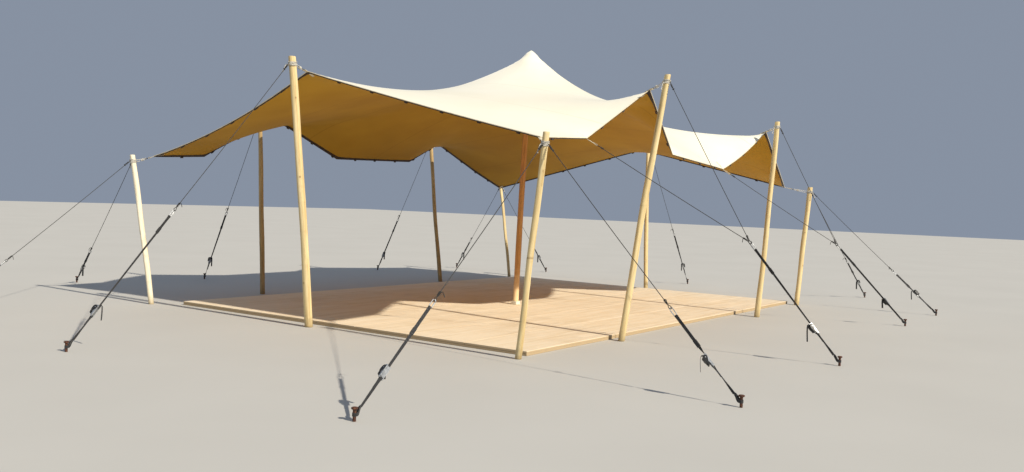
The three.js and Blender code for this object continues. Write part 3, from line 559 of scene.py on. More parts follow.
def polePart(pole, index, domed):
    # Rings round the axis: radius = taper + a slow out-of-round sum of sines + a bell for each
    # knot with a small hollow in it + a low collar at each old branch ring
    chance = np.random.default_rng(poleShape["seed"] + index)
    low, high = pole["foot"][2], pole["top"][2]
    edge = pole["radius"][1] if domed else poleShape["cutEdge"]
    body = np.linspace(low + poleShape["cutEdge"], high - edge, poleShape["along"])
    quarter = np.linspace(0, np.pi / 2, 9)[1:-1]
    endHeights, endShares = (high - edge + edge * np.sin(quarter), np.cos(quarter)) if domed \
        else ([high], [0.9])
    z = np.concatenate([[low], body, endHeights])
    shares = np.concatenate([[0.92], np.ones(len(body)), endShares])
    angle = angles(poleShape["around"])
    taper = poleRadius(pole, z)[:, None]
    knots, collars = (int(poleShape[key] * (high - low)) for key in ("knotsPerMetre", "collarsPerMetre"))
    knotZ = chance.uniform(low + 0.12, high - 0.28, knots)
    knotAngle = chance.uniform(0, 2 * np.pi, knots)
    knotSize = poleShape["knotSize"] * chance.uniform(0.55, 1.2, knots)
    turn = (angle[:, None] - knotAngle + np.pi) % (2 * np.pi) - np.pi
    away = np.sqrt((z[:, None, None] - knotZ) ** 2 + (taper[:, :, None] * turn) ** 2) / knotSize
    bell, hollow = np.exp(-away ** 2), np.exp(-(away / 0.4) ** 2)
    collarZ = chance.uniform(low + 0.2, high - 0.3, collars)
    collar = np.exp(-((z[:, None] - collarZ) / poleShape["collarWidth"]) ** 2).sum(-1)[:, None]
    phases = chance.uniform(0, 2 * np.pi, 4)
    oval = sum(size * np.sin(lobes * angle + phase + rise * z[:, None])
               for (size, lobes, rise), phase in zip(poleShape["ovals"], phases))
    radius = (taper + oval + poleShape["knotHeight"] * (bell - 0.6 * hollow).sum(-1)
              + poleShape["collarHeight"] * collar) * shares[:, None]
    ring = radius[..., None] * roundAt(angle)
    level = np.zeros(radius.shape + (1,))
    points = poleAxis(pole, z)[:, None] + np.concatenate([ring, level], -1)
    girth = np.linspace(0, 2 * np.pi * pole["radius"][0], len(angle) + 1)
    part = gridPart(points, z, girth, around=True, caps=True)
    # The wood's own place, far apart from pole to pole, and where its knots are
    grain = np.concatenate([ring, level + (z + 7.3 * index)[:, None, None]], -1)
    ends = [[0, 0, grain[0, 0, 2]], [0, 0, grain[-1, 0, 2]]]
    mark = 0.9 * hollow.sum(-1) + 0.25 * bell.sum(-1) + 0.3 * collar
    if "ring" in pole:
        mark = mark + 0.7 * np.exp(-((z - pole["ring"]) / 0.011) ** 2)[:, None]
    part["grain"] = np.concatenate([grain.reshape(-1, 3), ends])
    part["knot"] = np.concatenate([np.clip(mark, 0, 1).ravel(), [0, 0]])
    part["slots"][-2 * len(angle):] = 1  # sawn ends
    return part


for index, (name, pole) in enumerate(poles.items()):
    makePiece("round_pole_" + name, [polePart(pole, index, name == "centre")],
              poleWoods[woodOf.get(name, "pine")],
              ["pole_" + name])
centrePole = poles.pop("centre")  # no rope holds this one
print("poles made")

# Canopy

canopy = {
    "nearHem": [(-4.36, -3.14, 2.27), (-3.43, -3.13, 2.33), (-2.03, -3.15, 3.02), (-1.26, -3.12, 2.29),
                (0.40, -3.12, 2.19), (1.96, -3.15, 2.85), (2.85, -3.15, 2.095), (3.87, -2.83, 2.05)],
    "farHem": [(-4.40, 3.23, 2.06), (-3.58, 3.22, 2.11), (-2.15, 3.25, 2.73), (-0.93, 3.22, 2.23),
               (0.92, 3.22, 2.29), (1.77, 3.25, 2.67), (3.05, 3.27, 2.18), (3.95, 3.32, 1.90)],
    "leftTie": (-4.40, 0.21, 3.08), "rightTie": (4.00, 0.03, 2.71), "peak": (-0.38, -0.29, 3.912),
    "nearBows": {4: (0, 0, -0.05)}, "farBows": {1: (0, 0, 0.05)},
    "leftBows": {0: (0.03, 0, -0.02), 1: (0.04, 0, -0.09)},
    "columnCells": [4, 5, 4, 7, 5, 4, 5], "rowCells": [12, 12], "refine": 6, "slideReach": 0.9,
    "peakRadius": 0.160, "peakSlope": 1.2, "peakRound": 0.045, "ridgeWidth": 0.133,
    "sweeps": 1500, "overRelaxation": 1.96, "thickness": 0.0022,
    "foldHeight": 0.0030, "foldReach": 0.75, "foldsRound": 22,
}
# The fabric carries along the lines from the peak to the side poles: end, stiffness, and the power
# of the share of the way out by which it grows
ridges = [(canopy["leftTie"], 6.5, 0.5), (canopy["nearHem"][2], 10.8, 0),
          (canopy["nearHem"][5], 36.5, 1.45), (canopy["rightTie"], 0.1, 0), (canopy["farHem"][5], 6, 0),
          (canopy["farHem"][2], 11, 0)]
# Where something holds the hem: at the ten poles, and at the dips that two of the guys pull down
heldPoints = [canopy["leftTie"], canopy["rightTie"]] \
    + [canopy[side][k] for side in ("nearHem", "farHem") for k in (0, 2, 5, 7)] \
    + [canopy["nearHem"][k] for k in (1, 4)]


def hemLine(points, cells, bows):
    # Between each pair of points: from + (to - from) * t + bow * 4t(1 - t)
    line = [np.array([points[0]])]
    for k, count in enumerate(cells):
        t = np.linspace(0, 1, count + 1)[1:, None]
        start, end = np.array(points[k]), np.array(points[k + 1])
        line.append(start + (end - start) * t + np.array(bows.get(k, (0, 0, 0))) * 4 * t * (1 - t))
    return np.concatenate(line)


def ridgeStiffness(flat):
    # The largest of the ridges' stiffness * t^rise * exp(-(distance to the line from the peak /
    # width)^2), t the share of the way out from the peak
    top = np.array(canopy["peak"][:2])
    stiffest = np.zeros(flat.shape[:-1])
    for end, stiffness, rise in ridges:
        along = np.array(end[:2]) - top
        t = np.clip(((flat - top) @ along) / (along @ along), 0, 1)
        away = lengthOf(flat - top - t[..., None] * along)
        here = stiffness * t ** rise * np.exp(-(away / canopy["ridgeWidth"]) ** 2)
        stiffest = np.maximum(stiffest, here)
    return stiffest


def relaxedCanopy():
    # The four edges carried across (near + far + left + right - corners), slid so that one point
    # is on the peak, then heights relaxed: each becomes the mean of its neighbours, weighted by
    # the fabric between them, and overshoots a little to settle sooner
    refine, top, peakRound = canopy["refine"], np.array(canopy["peak"]), canopy["peakRound"]
    columnCells, rowCells = ([n * refine for n in canopy[key]] for key in ("columnCells", "rowCells"))
    near = hemLine(canopy["nearHem"], columnCells, canopy["nearBows"])
    far = hemLine(canopy["farHem"], columnCells, canopy["farBows"])
    left = hemLine([near[0], canopy["leftTie"], far[0]], rowCells, canopy["leftBows"])
    right = hemLine([near[-1], canopy["rightTie"], far[-1]], rowCells, {})
    s = np.linspace(0, 1, len(near))[:, None, None]
    t = np.linspace(0, 1, len(left))[None, :, None]
    grid = (1 - t) * near[:, None] + t * far[:, None] + (1 - s) * left + s * right \
        - (1 - s) * (1 - t) * near[0] - s * (1 - t) * near[-1] - (1 - s) * t * far[0] - s * t * far[-1]
    flat = grid[..., :2]
    kept = flat[::refine, ::refine]
    nearest = kept.reshape(-1, 2)[lengthOf(kept - top[:2]).argmin()]
    share = np.exp(-(lengthOf(flat - nearest) / canopy["slideReach"]) ** 2)
    flat += share[..., None] * (top[:2] - nearest)
    reach = lengthOf(flat - top[:2])
    held = reach < canopy["peakRadius"]
    cone = top[2] - canopy["peakSlope"] * (np.hypot(reach, peakRound) - peakRound)
    z = np.where(held, cone, grid[..., 2])

    def pull(axis):
        # Weight of the fabric between two neighbours: width over length, stiffer on a ridge
        spans = lengthOf(np.gradient(flat, axis=1 - axis))
        ahead, behind = np.arange(1, flat.shape[axis]), np.arange(flat.shape[axis] - 1)
        one, two = flat.take(behind, axis), flat.take(ahead, axis)
        sides = (spans.take(behind, axis) + spans.take(ahead, axis)) / 2
        return sides / lengthOf(two - one) * (1 + ridgeStiffness((one + two) / 2))

    pullX, pullY = pull(0), pull(1)
    a, b, c, d = pullX[:-1, 1:-1], pullX[1:, 1:-1], pullY[1:-1, :-1], pullY[1:-1, 1:]
    total = a + b + c + d
    i, j = np.indices(total.shape)
    masks = [((i + j) % 2 == parity) * ~held[1:-1, 1:-1] * canopy["overRelaxation"] for parity in (0, 1)]
    for sweep in range(canopy["sweeps"]):
        for mask in masks:
            balance = (a * z[:-2, 1:-1] + b * z[2:, 1:-1] + c * z[1:-1, :-2] + d * z[1:-1, 2:]) / total
            z[1:-1, 1:-1] += mask * (balance - z[1:-1, 1:-1])
    grid[..., 2] = z
    return grid


def foldHeights(grid):
    # Tension folds that run out from each held point: height * sin(n * angle) * a bell that is
    # nothing at the point itself and fades over the reach
    height, folds = np.zeros(grid.shape[:2]), canopy["foldsRound"]
    for k, anchor in enumerate([*heldPoints[:2], canopy["peak"], *heldPoints[2:]]):
        dx, dy = grid[..., 0] - anchor[0], grid[..., 1] - anchor[1]
        away, angle = np.hypot(dx, dy) / canopy["foldReach"], np.arctan2(dy, dx)
        wave = np.sin(folds * angle + 1.7 * k) + 0.5 * np.sin(1.7 * folds * angle + 0.9 * k)
        height += canopy["foldHeight"] * wave * (1 - np.exp(-(away * 4) ** 2)) * np.exp(-away ** 2 * 2.2)
    return height


def edgeStations(columns, rows):
    # Grid places of the edge, once round: near side, right end, far side, left end
    i, j = np.arange(columns - 1), np.arange(rows - 1)
    return (np.concatenate([i, 0 * j + columns - 1, columns - 1 - i, 0 * j]),
            np.concatenate([0 * i, j, 0 * i + rows - 1, rows - 1 - j]))


def sheetPart(top, bottom):
    # A closed sheet between two grids of points: upper face, lower face and a strip round the edge
    u, v = np.linspace(0, 8.3, columns), np.linspace(0, 6.5, rows)
    upper, lower = gridPart(top.transpose(1, 0, 2), v, u), gridPart(bottom, u, v, slot=1)
    upper["uv"] = upper["uv"][:, ::-1]
    a, b = edgeJ * columns + edgeI, columns * rows + edgeI * rows + edgeJ
    corners = np.stack([a, b, np.roll(b, -1), np.roll(a, -1)], -1).ravel()
    strip = {"points": np.zeros((0, 3)), "corners": corners - 2 * columns * rows,
             "uv": np.zeros((len(corners), 2)), "sizes": np.full(len(a), 4),
             "slots": np.zeros(len(a), int)}
    return joinParts([upper, lower, strip])


def surfaceAt(i, j):
    # The canopy's upper face between its grid points, by shares of the four around
    i, j = np.asarray(i, float), np.asarray(j, float)
    k, m = np.clip(i.astype(int), 0, columns - 2), np.clip(j.astype(int), 0, rows - 2)
    f, g = (i - k)[..., None], (j - m)[..., None]
    return (1 - f) * (1 - g) * canopyGrid[k, m] + f * (1 - g) * canopyGrid[k + 1, m] \
        + (1 - f) * g * canopyGrid[k, m + 1] + f * g * canopyGrid[k + 1, m + 1]


canopyGrid = relaxedCanopy()
canopyGrid[..., 2] += foldHeights(canopyGrid)
columns, rows = canopyGrid.shape[:2]
edgeI, edgeJ = edgeStations(columns, rows)
upNormals = unit(np.cross(np.gradient(canopyGrid, axis=0), np.gradient(canopyGrid, axis=1)))
lowerGrid = canopyGrid - canopy["thickness"] * upNormals
fabric = makePiece("canopy_fabric", [sheetPart(canopyGrid, lowerGrid)], [fabricTop, fabricBackPaintedGlow],
                   ["canopy"])
cellSides = [np.diff(canopyGrid, axis=0)[:, :-1], np.diff(canopyGrid, axis=1)[:-1]]
fabricArea = lengthOf(np.cross(*cellSides)).sum()
print(f"canopy made, {fabricArea:.1f} square metres")

# Hem: a folded band under the edge with a lip that hangs from it, a cream piping and tabs

hem = {
    "flat": 0.040, "cell": 0.042, "setIn": 0.003, "lipBottom": -0.017, "lipThickness": 0.0042,
    "under": -0.0042, "bandThickness": 0.0036, "bevel": 0.001, "pipingRadius": 0.0048,
    "tabEvery": 0.52, "tabWidth": 0.045, "tabThickness": 0.0026, "tabClear": 0.16,
    "tabPath": [(0.034, -0.0095), (0.014, -0.0105), (0.0098, -0.018), (0.0085, -0.025), (0.004, -0.030),
                (0.0002, -0.026), (0.0002, -0.016), (0.0004, -0.008)],
}


def insideEdge(i, j, cells):
    # The canopy's upper face some cells inside from the edge
    return surfaceAt(np.clip(i, cells, columns - 1 - cells), np.clip(j, cells, rows - 1 - cells))


edgeLine = canopyGrid[edgeI, edgeJ]
edgeLengths = lengthsRound(edgeLine)
inwards = insideEdge(edgeI, edgeJ, hem["flat"] / hem["cell"]) - edgeLine
out, lip, flat = hem["setIn"], hem["setIn"] + hem["lipThickness"], hem["flat"]
low, under, c = hem["lipBottom"], hem["under"], hem["bevel"]
band = under - hem["bandThickness"]
section = np.array([
    (out, low + c), (out + c, low), (lip - c, low), (lip, low + c), (lip, band), (flat - c, band),
    (flat, band + c), (flat, under - c), (flat - c, under), (out + c, under), (out, under - c),
])
# Each point of the section: edge + (share of the way inwards) + its height
hemPoints = edgeLine[:, None] + section[None, :, :1] / flat * inwards[:, None] \
    + section[None, :, 1:] * worldUp
hemGirth = lengthsRound(section) - 0.016  # 0 where the stitches of the flat band are centred
hemPiece = makePiece("hem_band", [gridPart(hemPoints, edgeLengths, hemGirth, around=True, along=True)],
                     [hemWeave], ["hem_webbing"])
pipingPiece = makePiece(
    "hem_piping", [ropePart(edgeLine - 0.0012 * worldUp, hem["pipingRadius"], worldUp, closed=True)],
    [creamWeave])

# Tabs: folded loops of webbing that go under the lip and up its outer side, clear of held points
tabPart = bandPart(curveThrough(hem["tabPath"], 29), hem["tabWidth"], hem["tabThickness"], yAxis)
tabCount = int(edgeLengths[-1] / hem["tabEvery"])
tabLengths = (np.arange(tabCount) + 0.5) * edgeLengths[-1] / tabCount
station = np.searchsorted(edgeLengths, tabLengths) - 1
station = station[lengthOf(edgeLine[station][:, None] - np.array(heldPoints)).min(1)
                  > hem["tabClear"]]
tangents = unit(np.roll(edgeLine, -1, 0) - edgeLine)[station]
tabPiece = makePiece(
    "hem_tabs", [placed(tabPart, origin, [unit(np.cross(worldUp, tangent)), -tangent, worldUp])
                 for origin, tangent in zip(edgeLine[station], tangents)], [hemWeave])
print("hem made,", len(station), "tabs")

# Guys: pole, stake on the plan, how far ratchet and hook are turned about the strap in degrees, and
# what differs from the rest: the rope's length, the dip of the hem that it holds and its hook's
# place, the length of the doubled webbing, and the strap's loose end

guys = {name: {"pole": pole, "stake": place, "roll": roll, "hookRoll": hookRoll, **more}
        for name, pole, place, roll, hookRoll, more in (
    ("left_mid", "left_mid", (-7.276, 0.32), 60, 75, {"rope": 2.23, "doubled": 0.216}),
    ("near_left_a", "near_left", (-7.404, -3.652), 105, 125, {"rope": 2.285, "tail": 0.090}),
    ("near_left_b", "near_left", (-4.894, -5.553), 135, 80,
     {"rope": 2.065, "doubled": 0.45, "tail": 0.125}),
    ("near_second", "near_second", (-2.089, -5.55), 140, 115,
     {"dip": canopy["nearHem"][1], "hook": (-2.372, -4.609, 1.268), "tail": 0.170}),
    ("near_third", "near_third", (2.414, -5.228), 130, 110,
     {"dip": canopy["nearHem"][4], "hook": (1.774, -4.36, 1.167), "tail": 0.120}),
    ("near_right_a", "near_right", (4.46, -5.266), 40, 60, {"rope": 1.86}),
    ("near_right_b", "near_right", (6.82, -3.52), 0, 0, {}),
    ("right_mid", "right_mid", (6.42, 0.05), 20, -10, {}),
    ("far_right_a", "far_right", (6.32, 3.6), -25, 10, {"rope": 1.78}),
    ("far_right_b", "far_right", (5.42, 5.56), 15, 15, {"rope": 1.88}),
    ("far_third", "far_third", (3.1, 5.95), 30, 0, {}),
    ("far_second", "far_second", (-1.42, 6.0), -20, 5, {}),
    ("far_left_a", "far_left", (-3.56, 6.52), 35, 20, {"rope": 2.68}),
    ("far_left_b", "far_left", (-6.95, 3.6), 0, 25, {}))}
ties = {f"{side}_{place}": canopy[side + "Hem"][k] for side in ("near", "far")
        for place, k in (("left", 0), ("second", 2), ("third", 5), ("right", 7))}
ties.update(left_mid=canopy["leftTie"], right_mid=canopy["rightTie"])
rope = {
    "radius": 0.0038, "belowTop": 0.085, "turns": 6, "lashingHeight": 0.046, "length": 2.080,
    "loopLength": 0.056, "loopWidth": 0.026, "sag": 0.004, "tail": 0.075, "guyTail": 0.040,
    "offPole": 0.0075, "wrap": 0.0076, "tieWrap": 0.0150, "knot": 0.0085, "guyKnot": 0.011,
    "secondAside": 0.0065,
}
tie = {
    "reach": 0.062, "longReach": 0.125, "innerCells": 2.6, "width": 0.042, "thickness": 0.0026,
    "underEdge": 0.0105, "barRadius": 0.0062, "ringLength": 0.056, "ringWire": 0.0032,
    "ringWidth": 0.0135, "ringRound": 0.013, "bend": 0.0068, "spread": 0.013,
}
stake = {
    "radius": 0.013, "sides": 28, "loopHeight": 0.050, "offLoop": 0.0023, "loopOut": 0.0028, "seed": 31,
}


def lashingCentre(pole):
    # The pole's axis at the height of its lashing
    return poleAxis(pole, pole["top"][2] - pole.get("lashing", rope["belowTop"]))


def flatDirection(start, end):
    # Unit vector from start to end on the plan
    return unit(np.array([end[0] - start[0], end[1] - start[1], 0.0]))


def framedBy(along):
    # A level direction square to along, and the one square to both
    side = unit(np.cross(worldUp, along))
    return side, np.cross(along, side)


for guy in guys.values():
    pole = poles[guy["pole"]]
    centre = lashingCentre(pole)
    depth = poleRadius(pole, centre[2]) + rope["offPole"]
    guy["start"] = centre + depth * flatDirection(centre, guy.get("hook", guy["stake"]))
    guy["foot"] = np.array([*guy["stake"], stake["loopHeight"]])
    towards = flatDirection(guy["foot"], guy.get("hook", guy["start"]))
    guy["end"] = guy["foot"] + (stake["radius"] + stake["offLoop"]) * towards
    along = unit(guy["end"] - guy["start"])
    guy["hookPoint"] = np.array(guy["hook"]) if "hook" in guy \
        else guy["start"] + guy.get("rope", rope["length"]) * along

# Ropes


def coilPath(centres, radius, first, turns, axis=worldUp, count=20):
    # A coil: centre + radius * (cos a, sin a) in the plane square to the axis, a from first
    a = first + np.linspace(0, 2 * np.pi * turns, int(count * turns) + 1)
    one = unit(np.cross(axis, [0.31, 0.95, 0.05]))
    two = np.cross(axis, one)
    return centres(np.linspace(0, 1, len(a))) + radius * (
        np.cos(a)[:, None] * one + np.sin(a)[:, None] * two)


def lashingParts(pole, index):
    # A close coil round the pole, and two slanting turns over it that draw it tight
    middle, wire = lashingCentre(pole)[2], rope["radius"]
    low = middle - rope["lashingHeight"] / 2
    out = poleRadius(pole, middle) + wire + 0.0008
    a = angles(40)
    circle = withZero(roundAt(a), 2)
    coil = coilPath(lambda t: poleAxis(pole, low + t * rope["lashingHeight"]), out, 0.7 * index,
                    rope["turns"], count=26)
    return [ropePart(coil, wire, worldUp)] + [
        ropePart(poleAxis(pole, middle + 0.022 * np.sin(a + phase + 0.9 * index))
                 + (out + layer * wire) * circle, wire, worldUp, closed=True)
        for layer, phase in ((1.55, 0.4), (1.85, 2.3))]


def wrapPart(start, end, radius, turns):
    # A few tight turns round a rope
    axis = unit(end - start)
    coil = coilPath(lambda t: start + t[:, None] * (end - start), radius, 0, turns, axis, 16)
    return ropePart(coil, rope["radius"] * 0.92, axis)


def tailPart(start, out, length, lean):
    # A short end of rope that leaves its knot sideways and hangs
    points = [start, start + 0.018 * out, start + 0.034 * out - 0.03 * worldUp,
              start + (0.034 + lean) * out - length * worldUp]
    return ropePart(curveThrough(points, 22), rope["radius"] * 0.9, unit(np.cross(worldUp, out)))


def knotPart(centre, size, axis):
    # Overhand knot: the closed trefoil (sin a + 2 sin 2a, cos a - 2 cos 2a, -sin 3a), as a tube
    a = angles(48)
    curve = np.stack([np.sin(a) + 2 * np.sin(2 * a), np.cos(a) - 2 * np.cos(2 * a), -np.sin(3 * a)], -1)
    one = unit(np.cross(axis, [0.2, 0.3, 0.9]))
    basis = np.stack([one, np.cross(axis, one), axis])
    return ropePart(centre + curve * size / 3 @ basis, rope["radius"] * 0.92, axis, closed=True)


def loopPath(start, along, side, length, width, count=36):
    # A drop-shaped loop: length * sin^2(t / 2) along, width * sin t * sin^2(t / 2) to the side
    t = np.linspace(0, 2 * np.pi, count)
    share = np.sin(t / 2) ** 2
    return start + (length * share)[:, None] * along + (width / 1.3 * np.sin(t) * share)[:, None] * side


def tautPath(start, end, sag, count):
    # A straight line that hangs down by sag * 4t(1 - t) times its length
    t = np.linspace(0, 1, count)[:, None]
    return start + (end - start) * t - sag * lengthOf(end - start) * 4 * t * (1 - t) * worldUp


def tieParts(anchor, target, reach, ropeGoes):
    # From the hem's edge to the pole: a doubled cream webbing that holds a dark steel ring, then
    # the rope, which goes through the ring and back
    along = unit(target - anchor)
    side, top = framedBy(along)
    held = lengthOf(edgeLine - anchor).argmin()
    inner = insideEdge(edgeI[held], edgeJ[held], tie["innerCells"])
    edge, wrap = anchor - tie["underEdge"] * worldUp, tie["barRadius"]
    bar = anchor + (reach + 0.004) * along - 0.008 * worldUp
    webbing = curveThrough([inner - 0.0110 * worldUp, (inner + edge) / 2 - 0.002 * worldUp, edge,
                            bar - 0.014 * along - 0.0042 * top, bar - wrap * top,
                            bar + wrap * along, bar + wrap * top,
                            bar - 0.014 * along + 0.0042 * top,
                            edge + 0.012 * along - 0.0020 * worldUp], 60)
    # Ring: two half circles and the straight sides between them
    centre = bar + (tie["ringLength"] / 2 - 0.004) * along
    a, straight = angles(36), (tie["ringLength"] - 0.030) / 2
    ring = centre + (tie["ringRound"] * np.cos(a) + straight * np.tanh(6 * np.cos(a)))[:, None] * along \
        + (tie["ringWidth"] * np.sin(a))[:, None] * side
    parts = [bandPart(webbing, tie["width"], tie["thickness"], side),
             ropePart(ring, tie["ringWire"], top, closed=True, slot=1)]
    turnPoint = centre + (tie["ringLength"] / 2 - 0.0072) * along
    if ropeGoes:
        back, home, bend = target - 0.012 * along, tie["spread"] * top, tie["bend"]
        half = np.linspace(-np.pi / 2, np.pi / 2, 12)[:, None]
        turn = turnPoint - bend * (np.cos(half) * along) + bend * np.sin(half) * top
        doubled = np.concatenate([tautPath(back - home, turn[0], rope["sag"], 16)[:-1], turn,
                                  tautPath(turn[-1], back + home, rope["sag"], 16)[1:]])
        near = turnPoint + 0.22 * (back - turnPoint)
        parts += inSlot([ropePart(doubled, rope["radius"], side),
                         wrapPart(near, near + 0.034 * along, rope["tieWrap"], 3.4)], 2)
    return parts, turnPoint


def guyParts(start, hook, aside):
    # One rope to the hook: the line, its loop with the wrap and the loose end. aside moves the
    # loop of a second line out of the first one's way.
    along = unit(hook - start)
    side, top = framedBy(along)
    neck = hook + aside * side * 1.4 - (rope["loopLength"] - 0.026) * along
    wire, wrap = rope["radius"], rope["wrap"]
    loop = loopPath(neck, along, top, rope["loopLength"], rope["loopWidth"])
    parts = [ropePart(tautPath(start, neck, rope["sag"], 34), wire, side),
             ropePart(loop, wire * 0.95, side),
             wrapPart(neck - 0.050 * along, neck + 0.004 * along, wrap, 4.5),
             tailPart(neck - 0.046 * along + 0.008 * side, side, rope["guyTail"] + aside, 0.004)]
    return parts + ([wrapPart(start + 0.006 * along, start + 0.040 * along, wrap, 3)] if aside else [])


def ropeParts(name, pole, index):
    # All the rope on one pole: lashing, tie to the hem, guys with their loops, knots and ends
    centre, hemPoint = lashingCentre(pole), np.array(ties[name])
    surface = poleRadius(pole, centre[2]) + rope["radius"]
    towards = flatDirection(centre, hemPoint)
    reach = tie["longReach" if name == "near_right" else "reach"]
    parts = inSlot(lashingParts(pole, index), 2) \
        + tieParts(hemPoint, centre + (surface - 0.002) * towards, reach, True)[0]
    ropes = []
    for guy in guys.values():
        if guy["pole"] != name:
            continue
        start, hook = guy["start"], guy["hookPoint"]
        lines = guyParts(start, hook, 0.0)
        if "dip" in guy:
            dipParts, turnPoint = tieParts(np.array(guy["dip"]), hook, tie["longReach"], False)
            parts += dipParts
            lines += guyParts(turnPoint, hook, rope["secondAside"])
        first = unit(hook - start)
        ropes += [*lines, wrapPart(start + 0.030 * first, start + 0.085 * first, rope["wrap"], 4),
                  knotPart(start + 0.100 * first, rope["guyKnot"], first)]
    out = unit(np.cross(worldUp, towards) - 0.6 * towards)
    tail = tailPart(centre + (surface + 0.008) * out - 0.012 * worldUp, out, rope["tail"], 0.02)
    knot = knotPart(tail["points"][-1] - 0.006 * worldUp, rope["knot"], worldUp)
    return parts + inSlot([tail, knot], 2) + inSlot(ropes, 3)


for index, (name, pole) in enumerate(poles.items()):
    makePiece("lashing_" + name, ropeParts(name, pole, index),
              [creamWeave, darkSteel, whiteRope, darkRope], ["ropes_" + name])
print("ropes made")

# Straps: snap hook, doubled webbing, ratchet, and a webbing loop on the stake

strap = {
    "width": 0.028, "singleWidth": 0.025, "thickness": 0.0030, "hookLength": 0.095, "hookWidth": 0.036,
    "hookWire": 0.0042, "hookGap": 0.0123, "doubled": 0.310, "ratchetToStake": 0.420, "twist": 0.160,
    "loopReach": 0.075, "bandHeight": 0.026, "loopThickness": 0.0026, "tail": 0.140,
    "tailThickness": 0.0024,
    # How the webbing lies round the hook's bar, its sewn end and the ratchet's bolt, as (x, z)
    "eye": [(0.060, 0.0036), (0.020, 0.0056), (0.002, 0.0086), (-0.0068, 0.0018), (0.002, -0.0050),
            (0.020, -0.0020), (0.060, 0)],
    "cuff": [(-0.060, 0.0070), (-0.020, 0.0072), (0.006, 0.0060), (0.010, 0.0018), (0.006, -0.0030),
             (-0.020, -0.0034), (-0.060, -0.0034)],
    "short": [(0.110, 0.0036), (0.050, 0.0036), (0.018, 0.0066), (0.001, 0.0086), (-0.0072, 0.0012),
              (0.001, -0.0060), (0.018, -0.0030), (0.050, 0), (0.110, 0)],
}
# In the strap's own frame, x along it and z up: the ratchet's drum and bolt, and side views
ratchet = {
    "drum": (-0.034, 0.016), "bolt": (0.058, 0.0015),
    "frame": [(-0.0665, -0.004), (-0.060, -0.006), (0.060, -0.006), (0.0665, -0.003), (0.066, 0.007),
              (0.058, 0.010), (0.022, 0.011), (-0.004, 0.024), (-0.018, 0.031), (-0.040, 0.032),
              (-0.052, 0.026), (-0.064, 0.012)],
    "lever": [(-0.057, 0.010), (-0.049, 0.001), (-0.036, -0.002), (-0.022, 0.002), (0.004, 0.014),
              (0.034, 0.019), (0.040, 0.026), (0.036, 0.033), (0.012, 0.034), (-0.006, 0.041),
              (-0.030, 0.042), (-0.050, 0.036), (-0.058, 0.024)],
    "pawl": [(-0.018, -0.0190), (0.006, -0.0190), (0.012, -0.010), (0.012, 0.010), (0.006, 0.0190),
             (-0.018, 0.0190)],
    "teeth": 10, "wheelRadius": 0.0150, "toothHeight": 0.0030, "grip": (0.031, 0.0285),
    "gripRadius": 0.0095, "bevel": 0.0006,
}


def hookParts():
    # An oval ring of wire: two straight sides and two half circles, a hinged gate on one side
    wire = strap["hookWire"]
    reach = strap["hookWidth"] / 2 - wire
    half = strap["hookLength"] / 2 - wire - reach
    a, t = np.linspace(-np.pi / 2, np.pi / 2, 13), np.linspace(0, 1, 9)
    right = withZero(roundAt(a, reach, half), 2)
    middle = np.array([strap["hookGap"] + strap["hookLength"] / 2, 0, 0])
    gate = middle + np.stack([half * (1.5 * t - 0.9), np.full(9, -reach), 0 * t], -1)
    pin = gate[0] + np.outer([-0.0075, -0.0068, 0.0068, 0.0075], worldUp)
    return [ropePart(np.concatenate([right, -right]) + middle, wire, worldUp, True, 10, slot=1),
            sweepPart(gate, ringProfile(wire * 0.98, 10), worldUp,
                      scale=1 + 0.30 * np.sin(np.pi * t) ** 0.5, slot=1),
            sweepPart(pin, ringProfile(0.0026, 10), xAxis, scale=[0.7, 1, 1, 0.7], slot=1)]


def rectangle(low, high, half):
    # Corners of a rectangle from low to high along x and half to each side
    return np.array([(low, -half), (high, -half), (high, half), (low, half)])


def leaning(cosine, sine):
    # Axes turned about y
    return np.array([[cosine, 0, -sine], [0, 1.0, 0], [sine, 0, cosine]])


